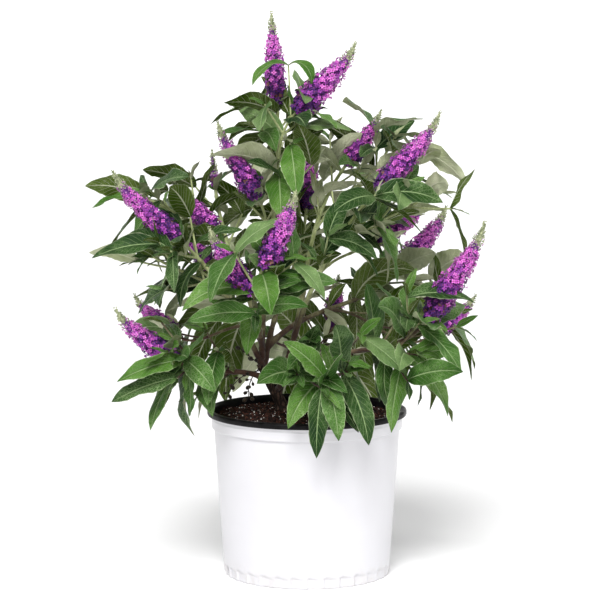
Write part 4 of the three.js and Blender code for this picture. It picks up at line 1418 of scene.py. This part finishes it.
def mixHeight(x, y):
    m = mixShape
    radius = math.hypot(x, y)
    wide = potShape["collarRadius"] - potShape["wall"] - m["crownRadius"]
    drop = (m["edgeDrop"] - m["crownDrop"]) * max(0.0, radius - m["crownRadius"]) / wide
    ripple = m["ripple"] * math.sin(x * 0.11) * math.cos(y * 0.13) * min(1, max(0, radius - 40) / 12)
    rough = sum(size * noise.noise(Vector((x * scale, y * scale, 7.3))) for scale, size in m["relief"])
    return pot["height"] - m["crownDrop"] - drop + ripple + rough


def mixPiece():
    p, gap = potShape, mixShape["clearance"]
    step, floor = pot["height"] - p["collarHeight"], p["floor"] + gap
    edge = p["collarRadius"] - p["wall"] - gap
    below = [
        (20, floor), (p["footRadius"] - p["footWall"] - gap, floor),
        (p["bodyRadius"] - p["wall"] - gap, step - 1.5), (edge, step + gap)]
    above = [(radius, 0) for radius in np.linspace(edge, 2, mixShape["rings"])]
    points, faces = turnedSkin(below + above, mixShape["segments"])
    for spot in points[len(below) * mixShape["segments"]:]:
        spot[2] = mixHeight(spot[0], spot[1])
    skin = crumbMaterial("pottingMix", mixShape["tint"], depth=0.0012)
    return newPiece("potting_mix_skin", points, faces, [skin])


# scatters small uneven lumps over the level faces of a surface
def lumpTree():
    tree, given, made = geometryTree("lumps", [
        ("Density", "Float"), ("Size", "Float"), ("Flatness", "Float"), ("Seed", "Int"),
        ("Skin", "Material")])
    rise = tree.split(tree.add("GeometryNodeInputNormal")[0])[2]
    place = tree.split(tree.add("GeometryNodeInputPosition")[0])[2]
    isLevel = tree.math("GREATER_THAN", rise, 0.4)
    isHigh = tree.math("GREATER_THAN", place, mixShape["level"])
    spots = tree.add("GeometryNodeDistributePointsOnFaces", {
        "Mesh": given["Geometry"], "Selection": tree.times(isLevel, isHigh), "Density": given["Density"],
        "Seed": given["Seed"]})["Points"]
    lump = tree.add("GeometryNodeMeshIcoSphere", {"Radius": 1.0, "Subdivisions": 1})["Mesh"]
    turn, wide = [tree.add("FunctionNodeRandomValue", values, data_type="FLOAT_VECTOR")[0] for values in (
        {1: (6.28, 6.28, 6.28), "Seed": given["Seed"]}, {0: (0.5, 0.4, 0.5), 1: (1.6, 1.0, 1.0)})]
    flat = tree.add("ShaderNodeCombineXYZ", {0: 1.0, 1: 1.0, 2: given["Flatness"]})[0]
    sized = tree.vector("SCALE", {0: tree.vector("MULTIPLY", {0: wide, 1: flat}), "Scale": given["Size"]})
    turned = tree.add("FunctionNodeEulerToRotation", {0: turn})[0]
    placed = tree.add("GeometryNodeInstanceOnPoints", {
        "Points": spots, "Instance": lump, "Rotation": turned, "Scale": sized})[0]
    whole = tree.add("GeometryNodeRealizeInstances", {"Geometry": placed})[0]
    wobble = tree.add("ShaderNodeTexNoise", {"Scale": 700.0, "Detail": 1.0})[1]
    centred = tree.vector("SUBTRACT", {0: wobble, 1: (0.5, 0.5, 0.5)})
    pushed = tree.vector("SCALE", {0: centred, "Scale": given["Size"]})
    uneven = tree.add("GeometryNodeSetPosition", {"Geometry": whole, "Offset": pushed})[0]
    return endTree(tree, made, uneven, {"Material": given["Skin"]})


mixSkin = mixPiece()
lumps = lumpTree()
for name, skin, tint, depth, values in mixShape["bits"]:
    surface = putInScene("surface", mixSkin.data.copy())
    piece = grow(name, surface, lumps, {**values, "Skin": crumbMaterial(skin, tint, depth)})
    keepPiece(piece, "potting_mix")
keepPiece(mixSkin, "potting_mix", "potting_mix")

# a level floor that curves up into a pale wall far behind, in metres

floorShape = {
    "from": 0.4, "level": 3, "radius": 6, "wall": 3, "steps": 24, "segments": 96, "drop": 0.0002,
    "tint": ((0.95, 0.95, 0.95), (0.97, 0.97, 0.97)),
}


def floorPiece():
    finish = Finish("paleFloor", Roughness=0.8, Specular_IOR_Level=0.1)
    mask = finish.mottled(scale=1.5, grain=60.0, contrast=0.3)[0]
    finish.feed(finish.shader["Base Color"], finish.blend(mask, *floorShape["tint"]))
    f = floorShape
    outline = [(f["from"], 0), (f["level"], 0)]
    for turn in np.linspace(0, math.pi / 2, f["steps"]):
        outline.append((f["radius"] + f["wall"] * math.sin(turn), f["wall"] * (1 - math.cos(turn))))
    points, faces = turnedSkin(outline, f["segments"])
    points[:, 2] -= f["drop"]
    faces = [tuple(reversed(face)) for face in faces[:-1]]
    newPiece("floor", points, faces, [finish.material], scale=1)


floorPiece()
